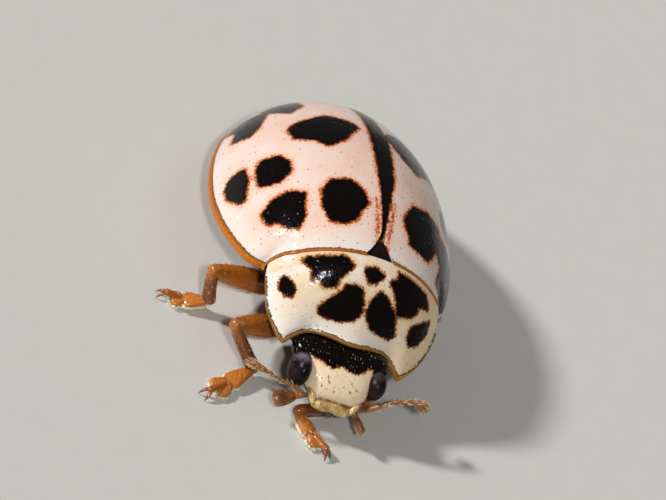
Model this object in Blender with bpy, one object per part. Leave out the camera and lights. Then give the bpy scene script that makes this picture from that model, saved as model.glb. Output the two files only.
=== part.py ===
"""A ladybird beetle, Oenopia conglobata, standing still at life size.

The beetle faces -Y, its left side is +X, and its six feet stand on z = 0.
Sizes and places are in millimetres, measured from the body's middle line,
until make_object() turns a finished shape into metres. move_origin() then puts
the origin at the bottom centre of the whole beetle.
"""

import math

import bmesh
import bpy
from mathutils import Vector

MM = 0.001                      # metres in a millimetre
GAP = 0.03                      # clearance between neighbours on a body under 5 mm long
SMOOTH_ANGLE = math.radians(40)

# Wing cases, the two halves of the dome
DOME_HALF_WIDTH = 1.626
WIDEST_Y = 0.255
DOME_FRONT_Y = -1.147
DOME_REAR_Y = 2.233
FRONT_OVERSHOOT = 0.75          # how far ahead the front outline would close to a point
FRONT_POWER = 2.059
REAR_POWER = 2.1
TOP_Z = 2.02
TOP_Y = -0.012
FRONT_TOP_Z = 1.819
SHOULDER_RIM_Z = 0.973
SIDE_RIM_Z = 0.588
REAR_RIM_Z = 0.412
LOWEST_SIDE_Y = 0.4
CROWN_POWER = 1.97
SHELL = 0.5                     # thickness of a wing case over the back
RIM_WIDTH = 0.3                 # its underside along the outer edge
RIM_DROP = 0.03
ELYTRON_STATIONS = 23
OUTER_POINTS = 15
INNER_POINTS = 8

# Scutellum, the small triangle between the wing cases
SCUTELLUM_TIP_Y = -0.871
SCUTELLUM_HALF_WIDTH = 0.16
SCUTELLUM_DEPTH = 0.4

# Trunk under the wing cases
BELLY_Z = 0.4
BELLY_RISE_Y = 0.9
FLANK = 0.08                    # height of the trunk's upright side
WAIST_Y = 0.12
TRUNK_REAR_Y = 2.1
THORAX_STATIONS = 9
ABDOMEN_STATIONS = 14

# Pronotum, the shield over the first segment
PRONOTUM_FRONT_HALF = 0.816
PRONOTUM_HIND_HALF = 1.128
PRONOTUM_SIDE_BULGE = 0.085
PRONOTUM_FRONT_Y = -1.817
PRONOTUM_CORNER_REACH = 0.141   # how far the front corners stand ahead of the middle
PRONOTUM_FRONT_CURVE = 3.0
PRONOTUM_FRONT_Z = 0.957
PRONOTUM_FRONT_CORNER_Z = 0.686
PRONOTUM_HIND_Z = 1.79
PRONOTUM_HIND_CORNER_Z = 1.121
PRONOTUM_CROWN = 0.17
PRONOTUM_THICKNESS = 0.42
PRONOTUM_EDGE = 0.07
PRONOTUM_COLUMNS = 22
PRONOTUM_ROWS = 9

# Head
HEAD_BACK = Vector((0.0, -1.87, 0.70))
HEAD_FRONT = Vector((0.0, -2.42, 0.42))
HEAD_HALF_WIDTH = 0.53
HEAD_HALF_DEPTH = 0.245
HEAD_UNDERSIDE = 0.7            # the underside is flatter than the face
HEAD_ROLL = math.radians(4)     # the left side is held higher
HEAD_SIDES = 20
HEAD_STATIONS = 9
EYE_CENTRE = Vector((0.50, -2.18, 0.645))
EYE_RADII = Vector((0.17, 0.23, 0.22))
EYE_PITCH = math.radians(-25)
MOUTH_CENTRE = Vector((0.0, -2.42, 0.40))
MOUTH_RADII = Vector((0.28, 0.16, 0.09))
MOUTH_SIDES = 14
MOUTH_ROWS = 9

# Limbs: thickness is kept near 0.5 mm where neighbours leave room for it
LIMB_SIDES = 8
CAP_RINGS = 2
SHAFT_RINGS = 4
FLOOR = (Vector((0, 0, 0)), Vector((0, 0, -1)))


def clear_scene():
    for old in list(bpy.data.objects):
        bpy.data.objects.remove(old, do_unlink=True)


def make_material(name, colour, roughness):
    material = bpy.data.materials.new(name)
    material.use_nodes = True
    shader = material.node_tree.nodes["Principled BSDF"]
    shader.inputs["Base Color"].default_value = (*colour, 1.0)
    shader.inputs["Roughness"].default_value = roughness
    shader.inputs["Metallic"].default_value = 0.0
    return material


def make_object(name, bm, material):
    """Turn a shape modelled in millimetres into a finished object in metres."""
    bmesh.ops.recalc_face_normals(bm, faces=bm.faces)
    bmesh.ops.scale(bm, vec=(MM, MM, MM), verts=bm.verts)
    mesh = bpy.data.meshes.new(name)
    bm.to_mesh(mesh)
    bm.free()
    mesh.shade_smooth()
    mesh.set_sharp_from_angle(angle=SMOOTH_ANGLE)
    mesh.materials.append(material)
    piece = bpy.data.objects.new(name, mesh)
    bpy.context.scene.collection.objects.link(piece)
    return piece


def loft(rings, start_pole=None, end_pole=None):
    """Join closed rings of points, in order, into one closed body.

    An end is closed by a fan to its pole, or by a flat face without one.
    """
    bm = bmesh.new()
    loops = [[bm.verts.new(point) for point in ring] for ring in rings]
    for one, two in zip(loops, loops[1:]):
        for i in range(len(one)):
            j = (i + 1) % len(one)
            bm.faces.new((one[i], one[j], two[j], two[i]))
    for loop, pole in ((loops[0], start_pole), (loops[-1], end_pole)):
        if pole is None:
            bm.faces.new(loop)
            continue
        tip = bm.verts.new(pole)
        for i in range(len(loop)):
            bm.faces.new((loop[i], loop[(i + 1) % len(loop)], tip))
    return bm


def ellipsoid(centre, radii, sides, rows, pitch=0.0):
    """A ball stretched along the axes, then turned about X."""
    bm = bmesh.new()
    bmesh.ops.create_uvsphere(bm, u_segments=sides, v_segments=rows, radius=1.0)
    bmesh.ops.scale(bm, vec=radii, verts=bm.verts)
    for vert in bm.verts:
        y, z = vert.co.y, vert.co.z
        vert.co.y = y * math.cos(pitch) - z * math.sin(pitch)
        vert.co.z = y * math.sin(pitch) + z * math.cos(pitch)
    bmesh.ops.translate(bm, vec=centre, verts=bm.verts)
    return bm


def slice_off(bm, point, normal):
    """Remove what lies beyond a plane, on its normal's side, and close the cut flat."""
    everything = bm.verts[:] + bm.edges[:] + bm.faces[:]
    bmesh.ops.bisect_plane(bm, geom=everything, dist=1e-5, plane_co=point,
                           plane_no=normal, clear_outer=True)
    rim = [edge for edge in bm.edges if edge.is_boundary]
    if rim:
        bmesh.ops.contextual_create(bm, geom=rim)


# ---------------------------------------------------------------- dome shape

def half_width(y):
    """Half the width of the wing cases at y."""
    if y >= WIDEST_Y:
        along = (y - WIDEST_Y) / (DOME_REAR_Y - WIDEST_Y)
        return DOME_HALF_WIDTH * max(0.0, 1 - along ** REAR_POWER) ** (1 / 1.9)
    along = (WIDEST_Y - y) / (WIDEST_Y - DOME_FRONT_Y + FRONT_OVERSHOOT)
    return DOME_HALF_WIDTH * (1 - along ** FRONT_POWER) ** (1 / FRONT_POWER)


def ridge_height(y, inset=0.0):
    """Height of the middle line of the dome, or of a smaller dome inside it."""
    if y < TOP_Y:
        along = (TOP_Y - y) / (TOP_Y - DOME_FRONT_Y)
        return TOP_Z - (TOP_Z - FRONT_TOP_Z) * along ** 2 - inset
    along = min(1.0, (y - TOP_Y) / (DOME_REAR_Y - 0.9 * inset - TOP_Y))
    rise = (1 - along ** 2.2) ** (1 / 1.9)
    return REAR_RIM_Z + (TOP_Z - inset - REAR_RIM_Z) * rise


def rim_height(y):
    """Height of the outer edge: high at the shoulder, lower at the side and rear."""
    ahead = max(0.0, (LOWEST_SIDE_Y - y) / (LOWEST_SIDE_Y - DOME_FRONT_Y))
    behind = max(0.0, (y - LOWEST_SIDE_Y) / (DOME_REAR_Y - LOWEST_SIDE_Y))
    rise = (SHOULDER_RIM_Z - SIDE_RIM_Z) * ahead ** 1.5
    fall = (REAR_RIM_Z - SIDE_RIM_Z) * behind ** 1.5
    return SIDE_RIM_Z + rise + fall


def crown(across):
    """Height of a cross-section, 1 in the middle and 0 at the edge."""
    return max(0.0, 1 - across ** CROWN_POWER) ** (1 / 1.8)


def under_shell(y):
    """Half-width, edge height and rise of the hollow under the wing cases at y."""
    width = half_width(y) - min(RIM_WIDTH, 0.45 * half_width(y))
    edge = rim_height(y) - RIM_DROP
    return width, edge, max(0.0, ridge_height(y, SHELL) - edge)


def arc(count):
    """Positions from 0 to 1 across a section, closer together near the edge."""
    return [math.sin(math.pi / 2 * i / (count - 1)) for i in range(count)]


# ---------------------------------------------------------------- wing cases

def suture_x(y):
    """Inner edge of a wing case: it steps out beside the scutellum."""
    ahead = max(0.0, SCUTELLUM_TIP_Y - y) / (SCUTELLUM_TIP_Y - DOME_FRONT_Y)
    return GAP / 2 + (SCUTELLUM_HALF_WIDTH + GAP) * ahead


def elytron_ring(side, y):
    inner = suture_x(y)
    half = half_width(y)
    rim = rim_height(y)
    rise = ridge_height(y) - rim
    ring = []
    for step in arc(OUTER_POINTS):
        x = inner + (half - inner) * step
        ring.append((side * x, y, rim + rise * crown(x / half)))
    hollow_half, edge, hollow_rise = under_shell(y)
    ring.append((side * (half - 0.15 * (half - hollow_half)), y, rim - 2 * RIM_DROP))
    for step in reversed(arc(INNER_POINTS)):
        x = inner + (hollow_half - inner) * step
        ring.append((side * x, y, edge + hollow_rise * crown(x / hollow_half)))
    return ring


def make_elytron(name, side, material):
    last = 0.968 * math.pi / 2
    length = DOME_REAR_Y - DOME_FRONT_Y
    rings = []
    for i in range(ELYTRON_STATIONS):
        y = DOME_FRONT_Y + length * math.sin(last * i / (ELYTRON_STATIONS - 1))
        rings.append(elytron_ring(side, y))
    make_object(name, loft(rings), material)


def make_scutellum(material):
    """A thin wedge, flush with the dome, that fills the notch between the wing cases."""
    rows = 5
    rings = []
    for i in range(rows):
        y = DOME_FRONT_Y + (SCUTELLUM_TIP_Y - DOME_FRONT_Y) * i / rows
        half = suture_x(y) - GAP
        top = ridge_height(y)
        edge = rim_height(y) + (top - rim_height(y)) * crown(half / half_width(y))
        low = top - SCUTELLUM_DEPTH
        rings.append([(-half, y, edge), (0, y, top), (half, y, edge), (half, y, low), (-half, y, low)])
    make_object("scutellum", loft(rings), material)


# ---------------------------------------------------------------- trunk

def belly_z(y):
    behind = max(0.0, (y - BELLY_RISE_Y) / (TRUNK_REAR_Y - BELLY_RISE_Y))
    low = min(BELLY_Z, rim_height(y) - 2 * FLANK)
    return low + (rim_height(TRUNK_REAR_Y) - 1.5 * FLANK - low) * behind ** 2


def trunk_ring(y):
    """Round back that fills the hollow under the wing cases, upright flank, bowed belly."""
    hollow_half, edge, hollow_rise = under_shell(y)
    half = hollow_half - GAP
    top_edge = edge - GAP
    steps = arc(7)
    across = [-s for s in reversed(steps[1:])] + steps
    back = [(half * s, y, top_edge + hollow_rise * crown(abs(s))) for s in across]
    low = belly_z(y)
    side_low = top_edge - FLANK
    belly = []
    for i in range(9):
        s = 1 - i / 4
        belly.append((half * s, y, low + (side_low - low) * abs(s) ** 2.2))
    return back + belly


def make_trunk(name, start_y, end_y, stations, material):
    rings = []
    for i in range(stations):
        y = start_y + (end_y - start_y) * math.sin(math.pi / 2 * i / (stations - 1))
        rings.append(trunk_ring(y))
    make_object(name, loft(rings), material)


# ---------------------------------------------------------------- pronotum

def pronotum_point(u, v, drop):
    """A point on the shield: u runs -1 to 1 across, v from the front edge to the hind one.

    drop moves it inwards by up to 1 thickness.
    """
    half = PRONOTUM_FRONT_HALF + (PRONOTUM_HIND_HALF - PRONOTUM_FRONT_HALF) * v ** 0.8
    half += PRONOTUM_SIDE_BULGE * 4 * v * (1 - v)
    flat = abs(u) ** 2.4
    bend = abs(u) ** PRONOTUM_FRONT_CURVE
    front_y = PRONOTUM_FRONT_Y - PRONOTUM_CORNER_REACH * bend
    front_z = PRONOTUM_FRONT_Z + (PRONOTUM_FRONT_CORNER_Z - PRONOTUM_FRONT_Z) * bend
    hind_y = DOME_FRONT_Y - GAP
    fall = 1 - (1 - abs(u) ** 2.1) ** 0.6
    hind_z = PRONOTUM_HIND_Z + (PRONOTUM_HIND_CORNER_Z - PRONOTUM_HIND_Z) * fall
    thick = drop * (PRONOTUM_EDGE + (PRONOTUM_THICKNESS - PRONOTUM_EDGE) * (1 - flat))
    y = front_y + (hind_y - front_y) * v + 0.2 * thick * (1 - v)
    z = front_z + (hind_z - front_z) * v - thick
    z += PRONOTUM_CROWN * (1 - flat) * 4 * v * (1 - v)
    return (half * u, y, z)


def make_pronotum(material):
    rings = []
    for i in range(PRONOTUM_COLUMNS + 1):
        u = math.sin(math.pi / 2 * (2 * i / PRONOTUM_COLUMNS - 1))
        top = [pronotum_point(u, j / PRONOTUM_ROWS, 0) for j in range(PRONOTUM_ROWS + 1)]
        under = [pronotum_point(u, 1 - j / 4, 1) for j in range(5)]
        rings.append(top + under)
    make_object("pronotum", loft(rings), material)


def make_prosternum(material):
    """The block under the shield that carries the front legs."""
    rings = []
    for v in (0.06, 0.35, 0.7, 1.0):
        roof = []
        for i in range(9):
            u = 0.66 * (1 - i / 4)
            x, y, z = pronotum_point(u, v, 1)
            roof.append((x, y, z - GAP))
        y = roof[4][1]
        roof = [(x, y, z) for x, _, z in roof]
        half = roof[0][0]
        low = BELLY_Z - 0.02
        floor = [(-half, y, low + 0.16), (-0.6 * half, y, low), (0.6 * half, y, low), (half, y, low + 0.16)]
        rings.append(roof + floor)
    make_object("prosternum", loft(rings), material)


# ---------------------------------------------------------------- head

def cut_away(piece, cutter_shape):
    """Subtract a shape from a finished piece."""
    cutter = make_object("cutter", cutter_shape, piece.data.materials[0])
    cutter.hide_render = True
    cutter.display_type = "WIRE"
    cut = piece.modifiers.new("eye socket", "BOOLEAN")
    cut.operation = "DIFFERENCE"
    cut.object = cutter
    bpy.context.view_layer.update()
    evaluated = piece.evaluated_get(bpy.context.evaluated_depsgraph_get())
    solid = bpy.data.meshes.new_from_object(evaluated)
    piece.modifiers.clear()
    piece.data = solid
    bpy.data.objects.remove(cutter, do_unlink=True)


def eye_shape(side, grow, sides=14, rows=9):
    out = side * EYE_CENTRE.x
    centre = Vector((out * math.cos(HEAD_ROLL), EYE_CENTRE.y, EYE_CENTRE.z + out * math.sin(HEAD_ROLL)))
    radii = EYE_RADII + Vector((grow, grow, grow))
    return ellipsoid(centre, radii, sides, rows, EYE_PITCH)


def make_head(material, eye_material, mouth_material):
    along = (HEAD_FRONT - HEAD_BACK).normalized()
    across = Vector((math.cos(HEAD_ROLL), 0, math.sin(HEAD_ROLL)))
    up = along.cross(across)
    length = (HEAD_FRONT - HEAD_BACK).length
    rings = []
    for i in range(HEAD_STATIONS):
        t = i / (HEAD_STATIONS - 1)
        centre = HEAD_BACK + along * length * t
        swell = (1 - (abs(t - 0.3) / 0.85) ** 2.3) ** 0.5
        half = HEAD_HALF_WIDTH * swell * (1 - 0.12 * t)
        depth = HEAD_HALF_DEPTH * (1 - 0.9 * max(0.0, t - 0.55) ** 1.3)
        ring = []
        for k in range(HEAD_SIDES):
            turn = 2 * math.pi * k / HEAD_SIDES
            x = half * math.copysign(abs(math.cos(turn)) ** 0.8, math.cos(turn))
            lift = depth * math.copysign(abs(math.sin(turn)) ** 0.8, math.sin(turn))
            lift *= HEAD_UNDERSIDE if lift < 0 else 1
            ring.append(centre + across * x + up * lift)
        rings.append(ring)
    head = make_object("head", loft(rings), material)
    for name, side in (("eye_right", -1), ("eye_left", 1)):
        cut_away(head, eye_shape(side, GAP))
        make_object(name, eye_shape(side, 0), eye_material)
    mouth = ellipsoid(MOUTH_CENTRE, MOUTH_RADII, MOUTH_SIDES, MOUTH_ROWS)
    slice_off(mouth, HEAD_FRONT + along * GAP, -along)
    make_object("mouthparts", mouth, mouth_material)


# ---------------------------------------------------------------- limbs

def limb_shape(start, end, radii, cuts):
    """A tapering limb with round ends centred on its joints.

    radii are those at the start, the middle and the end. Each cut is a point and a
    normal: what lies beyond that plane is removed and the opening closed flat.
    """
    start, end = Vector(start), Vector(end)
    length = (end - start).length
    turn = (end - start).to_track_quat("Z", "Y")
    stations = []
    for k in range(1, CAP_RINGS + 1):
        a = math.pi / 2 * k / (CAP_RINGS + 1)
        stations.append((-radii[0] * math.cos(a), radii[0] * math.sin(a)))
    for k in range(SHAFT_RINGS):
        t = k / (SHAFT_RINGS - 1)
        swell = radii[1] - (radii[0] + radii[2]) / 2
        stations.append((length * t, radii[0] + (radii[2] - radii[0]) * t + swell * 4 * t * (1 - t)))
    for k in range(CAP_RINGS, 0, -1):
        a = math.pi / 2 * k / (CAP_RINGS + 1)
        stations.append((length + radii[2] * math.cos(a), radii[2] * math.sin(a)))
    rings = []
    for along, radius in stations:
        ring = []
        for k in range(LIMB_SIDES):
            a = 2 * math.pi * (k + 0.5) / LIMB_SIDES
            offset = Vector((radius * math.cos(a), radius * math.sin(a), along))
            ring.append(start + turn @ offset)
        rings.append(ring)
    tail = start + turn @ Vector((0, 0, -radii[0]))
    tip = start + turn @ Vector((0, 0, length + radii[2]))
    bm = loft(rings, tail, tip)
    for point, normal in cuts:
        slice_off(bm, point, normal)
    return bm


def mitre(before, joint, after):
    """The two planes that part a joint evenly: one for the piece before, one for after."""
    before, joint, after = Vector(before), Vector(joint), Vector(after)
    normal = ((joint - before).normalized() + (after - joint).normalized()).normalized()
    shift = normal * GAP / 2
    return (joint - shift, normal), (joint + shift, -normal)


def make_leg(place, hip, knee, ankle, toe, thick, material):
    """Femur, tibia and foot; thick holds the three half-thicknesses."""
    knee_cut, tibia_top = mitre(hip, knee, ankle)
    ankle_cut, foot_top = mitre(knee, ankle, toe)
    thigh, shin, foot = thick
    femur = limb_shape(hip, knee, (0.65 * thigh, thigh, 0.8 * thigh), [knee_cut])
    tibia = limb_shape(knee, ankle, (0.9 * shin, shin, 0.9 * shin), [tibia_top, ankle_cut])
    tarsus = limb_shape(ankle, toe, (foot, foot, 0.7 * foot), [foot_top, FLOOR])
    make_object("femur_" + place, femur, material)
    make_object("tibia_" + place, tibia, material)
    make_object("tarsus_" + place, tarsus, material)


LEGS = {
    "front_right": dict(hip=(-0.55, -1.22, 0.24), knee=(-1.45, -1.88, 0.65),
                        ankle=(-1.00, -2.00, 0.19), toe=(-1.56, -2.55, 0.09),
                        thick=(0.22, 0.20, 0.20)),
    "front_left": dict(hip=(0.50, -1.22, 0.24), knee=(0.62, -2.04, 0.22),
                       ankle=(-0.26, -2.44, 0.15), toe=(0.09, -2.90, 0.08),
                       thick=(0.17, 0.13, 0.15)),
    "middle_right": dict(hip=(-0.58, -0.50, 0.20), knee=(-1.73, -1.05, 0.68),
                         ankle=(-1.50, -1.09, 0.20), toe=(-2.05, -1.11, 0.09),
                         thick=(0.22, 0.20, 0.20)),
    "middle_left": dict(hip=(0.58, -0.50, 0.22), knee=(1.35, -0.55, 0.38),
                        ankle=(1.62, 0.08, 0.20), toe=(1.92, 0.55, 0.09),
                        thick=(0.20, 0.20, 0.20)),
    "hind_right": dict(hip=(-0.50, 0.32, 0.20), knee=(-1.05, 0.92, 0.25),
                       ankle=(-0.96, 1.52, 0.19), toe=(-0.78, 1.92, 0.09),
                       thick=(0.18, 0.17, 0.18)),
    "hind_left": dict(hip=(0.50, 0.32, 0.20), knee=(1.25, 0.92, 0.25),
                      ankle=(1.50, 1.50, 0.19), toe=(1.68, 2.00, 0.09),
                      thick=(0.18, 0.17, 0.18)),
}


# ---------------------------------------------------------------- feelers and palps

ANTENNAE = {
    "right": dict(base=(-0.44, -2.50, 0.52), bend=(-0.82, -2.50, 0.62), tip=(-1.18, -2.44, 0.66)),
    "left": dict(base=(0.47, -2.38, 0.41), bend=(0.88, -2.27, 0.48), tip=(1.20, -2.16, 0.57)),
}
STALK_RADII = (0.06, 0.12, 0.18)
CLUB_RADII = (0.20, 0.21, 0.16)
PALPS = {
    "right": dict(base=(-0.38, -2.44, 0.35), tip=(-0.68, -2.49, 0.29)),
    "left": dict(base=(0.30, -2.48, 0.31), tip=(0.48, -2.53, 0.28)),
}
PALP_RADII = (0.06, 0.07, 0.08)


def make_feelers(material):
    for side, places in ANTENNAE.items():
        stalk_cut, club_cut = mitre(places["base"], places["bend"], places["tip"])
        stalk = limb_shape(places["base"], places["bend"], STALK_RADII, [stalk_cut])
        club = limb_shape(places["bend"], places["tip"], CLUB_RADII, [club_cut])
        make_object("antenna_stalk_" + side, stalk, material)
        make_object("antenna_club_" + side, club, material)
    for side, places in PALPS.items():
        palp = limb_shape(places["base"], places["tip"], PALP_RADII, [])
        make_object("palp_" + side, palp, material)


# ---------------------------------------------------------------- the whole beetle

def move_origin():
    """Put the origin at the bottom centre of the whole beetle."""
    points = [v.co for piece in bpy.data.objects for v in piece.data.vertices]
    middle_x = (min(p.x for p in points) + max(p.x for p in points)) / 2
    middle_y = (min(p.y for p in points) + max(p.y for p in points)) / 2
    for piece in bpy.data.objects:
        for vert in piece.data.vertices:
            vert.co.x -= middle_x
            vert.co.y -= middle_y


def main():
    clear_scene()
    shell = make_material("elytra", (0.80, 0.66, 0.56), 0.25)
    shield = make_material("pronotum", (0.83, 0.76, 0.60), 0.25)
    black = make_material("scutellum", (0.02, 0.012, 0.01), 0.25)
    brown = make_material("underside", (0.05, 0.025, 0.015), 0.4)
    face = make_material("head", (0.85, 0.76, 0.62), 0.3)
    eye = make_material("eye", (0.04, 0.03, 0.035), 0.3)
    amber = make_material("leg", (0.50, 0.20, 0.04), 0.3)
    mouth = make_material("mouthparts", (0.55, 0.30, 0.09), 0.3)
    feeler = make_material("antenna", (0.55, 0.28, 0.08), 0.35)

    make_elytron("elytron_right", -1, shell)
    make_elytron("elytron_left", 1, shell)
    make_scutellum(black)
    make_pronotum(shield)
    make_prosternum(brown)
    make_trunk("thorax", WAIST_Y - GAP / 2, DOME_FRONT_Y, THORAX_STATIONS, brown)
    make_trunk("abdomen", WAIST_Y + GAP / 2, TRUNK_REAR_Y, ABDOMEN_STATIONS, brown)
    make_head(face, eye, mouth)
    for place, leg in LEGS.items():
        make_leg(place, material=amber, **leg)
    make_feelers(feeler)
    move_origin()


main()
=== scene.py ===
# %% [markdown]
# # A ladybird beetle at life size
#
# The beetle is under 5 mm long: two domed wing cases, a shield-shaped pronotum, a lowered head
# with two feelers, and six jointed legs. Its hard parts are chitin, a natural plastic that the
# beetle makes in layers: clear amber where it is thin, cream over a pale lining, and black
# where it is tanned. The CAD solids give every place and size. This lesson builds the looks
# round them, so the first cell loads them as a fixed frame.

# %% Load the frame
import math

import bpy
import numpy as np
from mathutils import Matrix, Vector


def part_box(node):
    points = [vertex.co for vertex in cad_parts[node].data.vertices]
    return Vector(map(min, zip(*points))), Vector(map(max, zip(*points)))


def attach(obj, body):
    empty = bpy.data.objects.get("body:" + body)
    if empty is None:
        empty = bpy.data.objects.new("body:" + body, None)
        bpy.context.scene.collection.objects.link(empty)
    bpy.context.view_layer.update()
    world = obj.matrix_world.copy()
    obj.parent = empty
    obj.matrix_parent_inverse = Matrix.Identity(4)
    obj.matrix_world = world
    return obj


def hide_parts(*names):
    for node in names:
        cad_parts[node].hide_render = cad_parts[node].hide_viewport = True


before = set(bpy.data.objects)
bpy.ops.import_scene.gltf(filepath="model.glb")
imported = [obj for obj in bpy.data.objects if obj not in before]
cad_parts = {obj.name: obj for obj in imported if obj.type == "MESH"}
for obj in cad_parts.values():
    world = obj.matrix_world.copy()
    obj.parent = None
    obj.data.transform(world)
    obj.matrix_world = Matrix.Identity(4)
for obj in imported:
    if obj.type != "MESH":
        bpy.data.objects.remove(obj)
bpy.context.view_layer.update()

# %% [markdown]
# ## A workshop at a thousand times life size
#
# Blender's tools have limits made for furniture, not for insects: points merge at a tenth of a
# millimetre, for instance. A maker of small things works under a lens, and so does this lesson: a
# piece is modelled with one Blender unit for each millimetre, and the last step brings it down to
# life size, rides it on the body and gives it its finish.

# %% Workshop helpers
MM = 0.001                  # metres in a millimetre
WELD_GAP = 0.002            # mm: points closer than this are one
PAIRING_ANGLE = 0.7         # radians by which two triangles may differ and still pair up


def hold(piece):
    """Select one piece alone and make it active, ready for the next operator."""
    bpy.ops.object.select_all(action="DESELECT")
    piece.select_set(True)
    bpy.context.view_layer.objects.active = piece
    return piece


def finish_modifier(piece, kind, **settings):
    """Add a modifier with its settings and apply it at once."""
    hold(piece)
    modifier = piece.modifiers.new(kind.title(), kind)
    for name, value in settings.items():
        setattr(modifier, name, value)
    bpy.ops.object.modifier_apply(modifier=modifier.name)


def smooth_out(piece, levels=2):
    """Round a piece with Subdivision Surface and shade it smooth."""
    if levels:
        finish_modifier(piece, "SUBSURF", levels=levels, render_levels=levels)
    hold(piece)
    bpy.ops.object.shade_smooth()
    return piece


def round_edges(piece, width, angle):
    """Bevel each edge that turns by more than an angle in degrees, then smooth the piece."""
    finish_modifier(piece, "BEVEL", width=width, segments=2, limit_method="ANGLE",
                    angle_limit=math.radians(angle))
    return smooth_out(piece)


def settle(piece):
    """Apply a piece's place, turn and scale, so that it rests unturned at the origin."""
    hold(piece)
    bpy.ops.object.transform_apply(location=True, rotation=True, scale=True)
    return piece


def resize(piece, factor):
    """Scale a piece about the origin."""
    hold(piece)
    bpy.ops.transform.resize(value=(factor,) * 3, center_override=(0, 0, 0))
    return settle(piece)


def edit_all(piece):
    """Enter edit mode with the whole piece selected."""
    hold(piece)
    bpy.ops.object.mode_set(mode="EDIT")
    bpy.ops.mesh.select_all(action="SELECT")


def end_edit():
    bpy.ops.object.mode_set(mode="OBJECT")


def pick(piece, kind, wanted):
    """Enter edit mode with only some of the piece's faces or points selected."""
    edit_all(piece)
    bpy.ops.mesh.select_mode(type=kind)
    bpy.ops.mesh.select_all(action="DESELECT")
    end_edit()
    for element in piece.data.polygons if kind == "FACE" else piece.data.vertices:
        element.select = wanted(element)
    bpy.ops.object.mode_set(mode="EDIT")


def add_object(name, data):
    """Put a mesh, a light or a camera into the scene."""
    thing = bpy.data.objects.new(name, data)
    bpy.context.scene.collection.objects.link(thing)
    return thing


def read_points(piece, what):
    values = np.empty(len(piece.data.vertices) * 3)
    piece.data.vertices.foreach_get(what, values)
    return values.reshape(-1, 3)


def corners_of(piece):
    """The piece's points as an array, one row for each."""
    return read_points(piece, "co")


def normals_of(piece):
    return read_points(piece, "normal")


def set_corners(piece, points):
    piece.data.vertices.foreach_set("co", np.asarray(points, float).ravel())
    piece.data.update()


def to_life_size(piece, slot, material, *nodes):
    """Scale a finished piece down, give it its finish and fix it to the body."""
    resize(piece, MM)
    piece.data.materials.clear()
    piece.data.materials.append(material)
    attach(piece, "root")
    if nodes:
        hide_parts(*nodes)
    size = [round(1000 * v, 2) for v in piece.dimensions]
    print(f"{piece.name}: {len(piece.data.polygons)} faces, {size} mm")


def solid_box(node):
    """The low and high corners of a CAD solid's box, in mm."""
    return [1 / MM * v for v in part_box(node)]


def copy_of(node, name):
    """Copy a CAD solid at workshop size, with its loose triangles merged and paired up."""
    piece = add_object(name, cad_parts[node].data.copy())
    piece.data.name = name
    hold(piece)
    bpy.ops.mesh.customdata_custom_splitnormals_clear()
    resize(piece, 1 / MM)
    edit_all(piece)
    bpy.ops.mesh.remove_doubles(threshold=WELD_GAP)
    bpy.ops.mesh.tris_convert_to_quads(face_threshold=PAIRING_ANGLE,
                                       shape_threshold=PAIRING_ANGLE)
    end_edit()
    return piece


bpy.ops.object.select_all(action="DESELECT")
print("nodes:", len(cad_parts))

# %% [markdown]
# ## Colours and nodes
#
# A colour is written as the sRGB hex value that a painter's chart gives, and one function
# turns it to the linear numbers that light uses. One small function adds a shader node, and
# a few short ones name the steps that come up again and again, so that each material below
# reads as a list of what is laid over what.

# %% Material helpers
PER_MM = 1 / MM             # texture scale for a pattern with one cell to the millimetre
CHITIN_IOR = 1.56


def linear(hex_colour):
    """Turn an sRGB hex colour into linear red, green, blue and alpha."""
    shares = [int(hex_colour[i:i + 2], 16) / 255 for i in (1, 3, 5)]
    return (*[s / 12.92 if s <= 0.04045 else ((s + 0.055) / 1.055) ** 2.4 for s in shares], 1.0)


def add_node(tree, kind, inputs, output=0):
    """Add one node, set or link its sockets and options, and return one of its outputs."""
    node = tree.nodes.new("ShaderNode" + kind)
    for name, value in inputs.items():
        if isinstance(value, bpy.types.NodeSocket):
            tree.links.new(value, node.inputs[name])
        elif isinstance(name, int) or name in node.inputs:
            node.inputs[name].default_value = value
        else:
            setattr(node, name, value)
    return node.outputs[output] if node.outputs else None


def new_material(name):
    """An empty material, its node tree and the places of the points it covers."""
    material = bpy.data.materials.new(name)
    material.use_nodes = True
    material.node_tree.nodes.clear()
    return material, material.node_tree, add_node(material.node_tree, "TexCoord", {}, "Object")


def stored(tree, name):
    """The number that each point of the mesh stores under a name."""
    return add_node(tree, "Attribute", {"attribute_name": name}, "Fac")


def noise(tree, place, per_mm, detail=2.0):
    """Soft blotches, so many to the millimetre."""
    return add_node(tree, "TexNoise", {"Scale": per_mm * PER_MM, "Detail": detail,
                                       "Vector": place}, "Fac")


def ramp(tree, value, start, end, low=0.0, high=1.0):
    """Turn a value from start to end into one from low to high, and stop at both."""
    return add_node(tree, "MapRange", {"From Min": start, "From Max": end, "To Min": low,
                                       "To Max": high, "Value": value})


def fade(tree, value, start, end):
    """1 up to start, 0 from end on."""
    return ramp(tree, value, start, end, 1.0, 0.0)


def maths(tree, operation, *values):
    """One sum on numbers or sockets, named as Blender names it."""
    return add_node(tree, "Math", {"operation": operation, **dict(enumerate(values))})


def mix(tree, share, first, second):
    """Two colours mixed, by a share of the second."""
    return add_node(tree, "Mix", {"data_type": "RGBA", 0: share, 6: first, 7: second}, 2)


def finish_chitin(material, colour, rough, settings, relief=None, strength=0, depth=0):
    """End a material with chitin's shader, over relief of a depth in mm if it has any."""
    tree = material.node_tree
    surface = {"IOR": CHITIN_IOR, "Base Color": colour, "Roughness": rough, **settings}
    if relief:
        surface["Normal"] = add_node(tree, "Bump", {
            "Strength": strength, "Distance": depth * MM, "Height": relief}, "Normal")
    add_node(tree, "OutputMaterial", {"Surface": add_node(tree, "BsdfPrincipled", surface)})
    return material


print("chitin bends light by", CHITIN_IOR)

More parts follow.
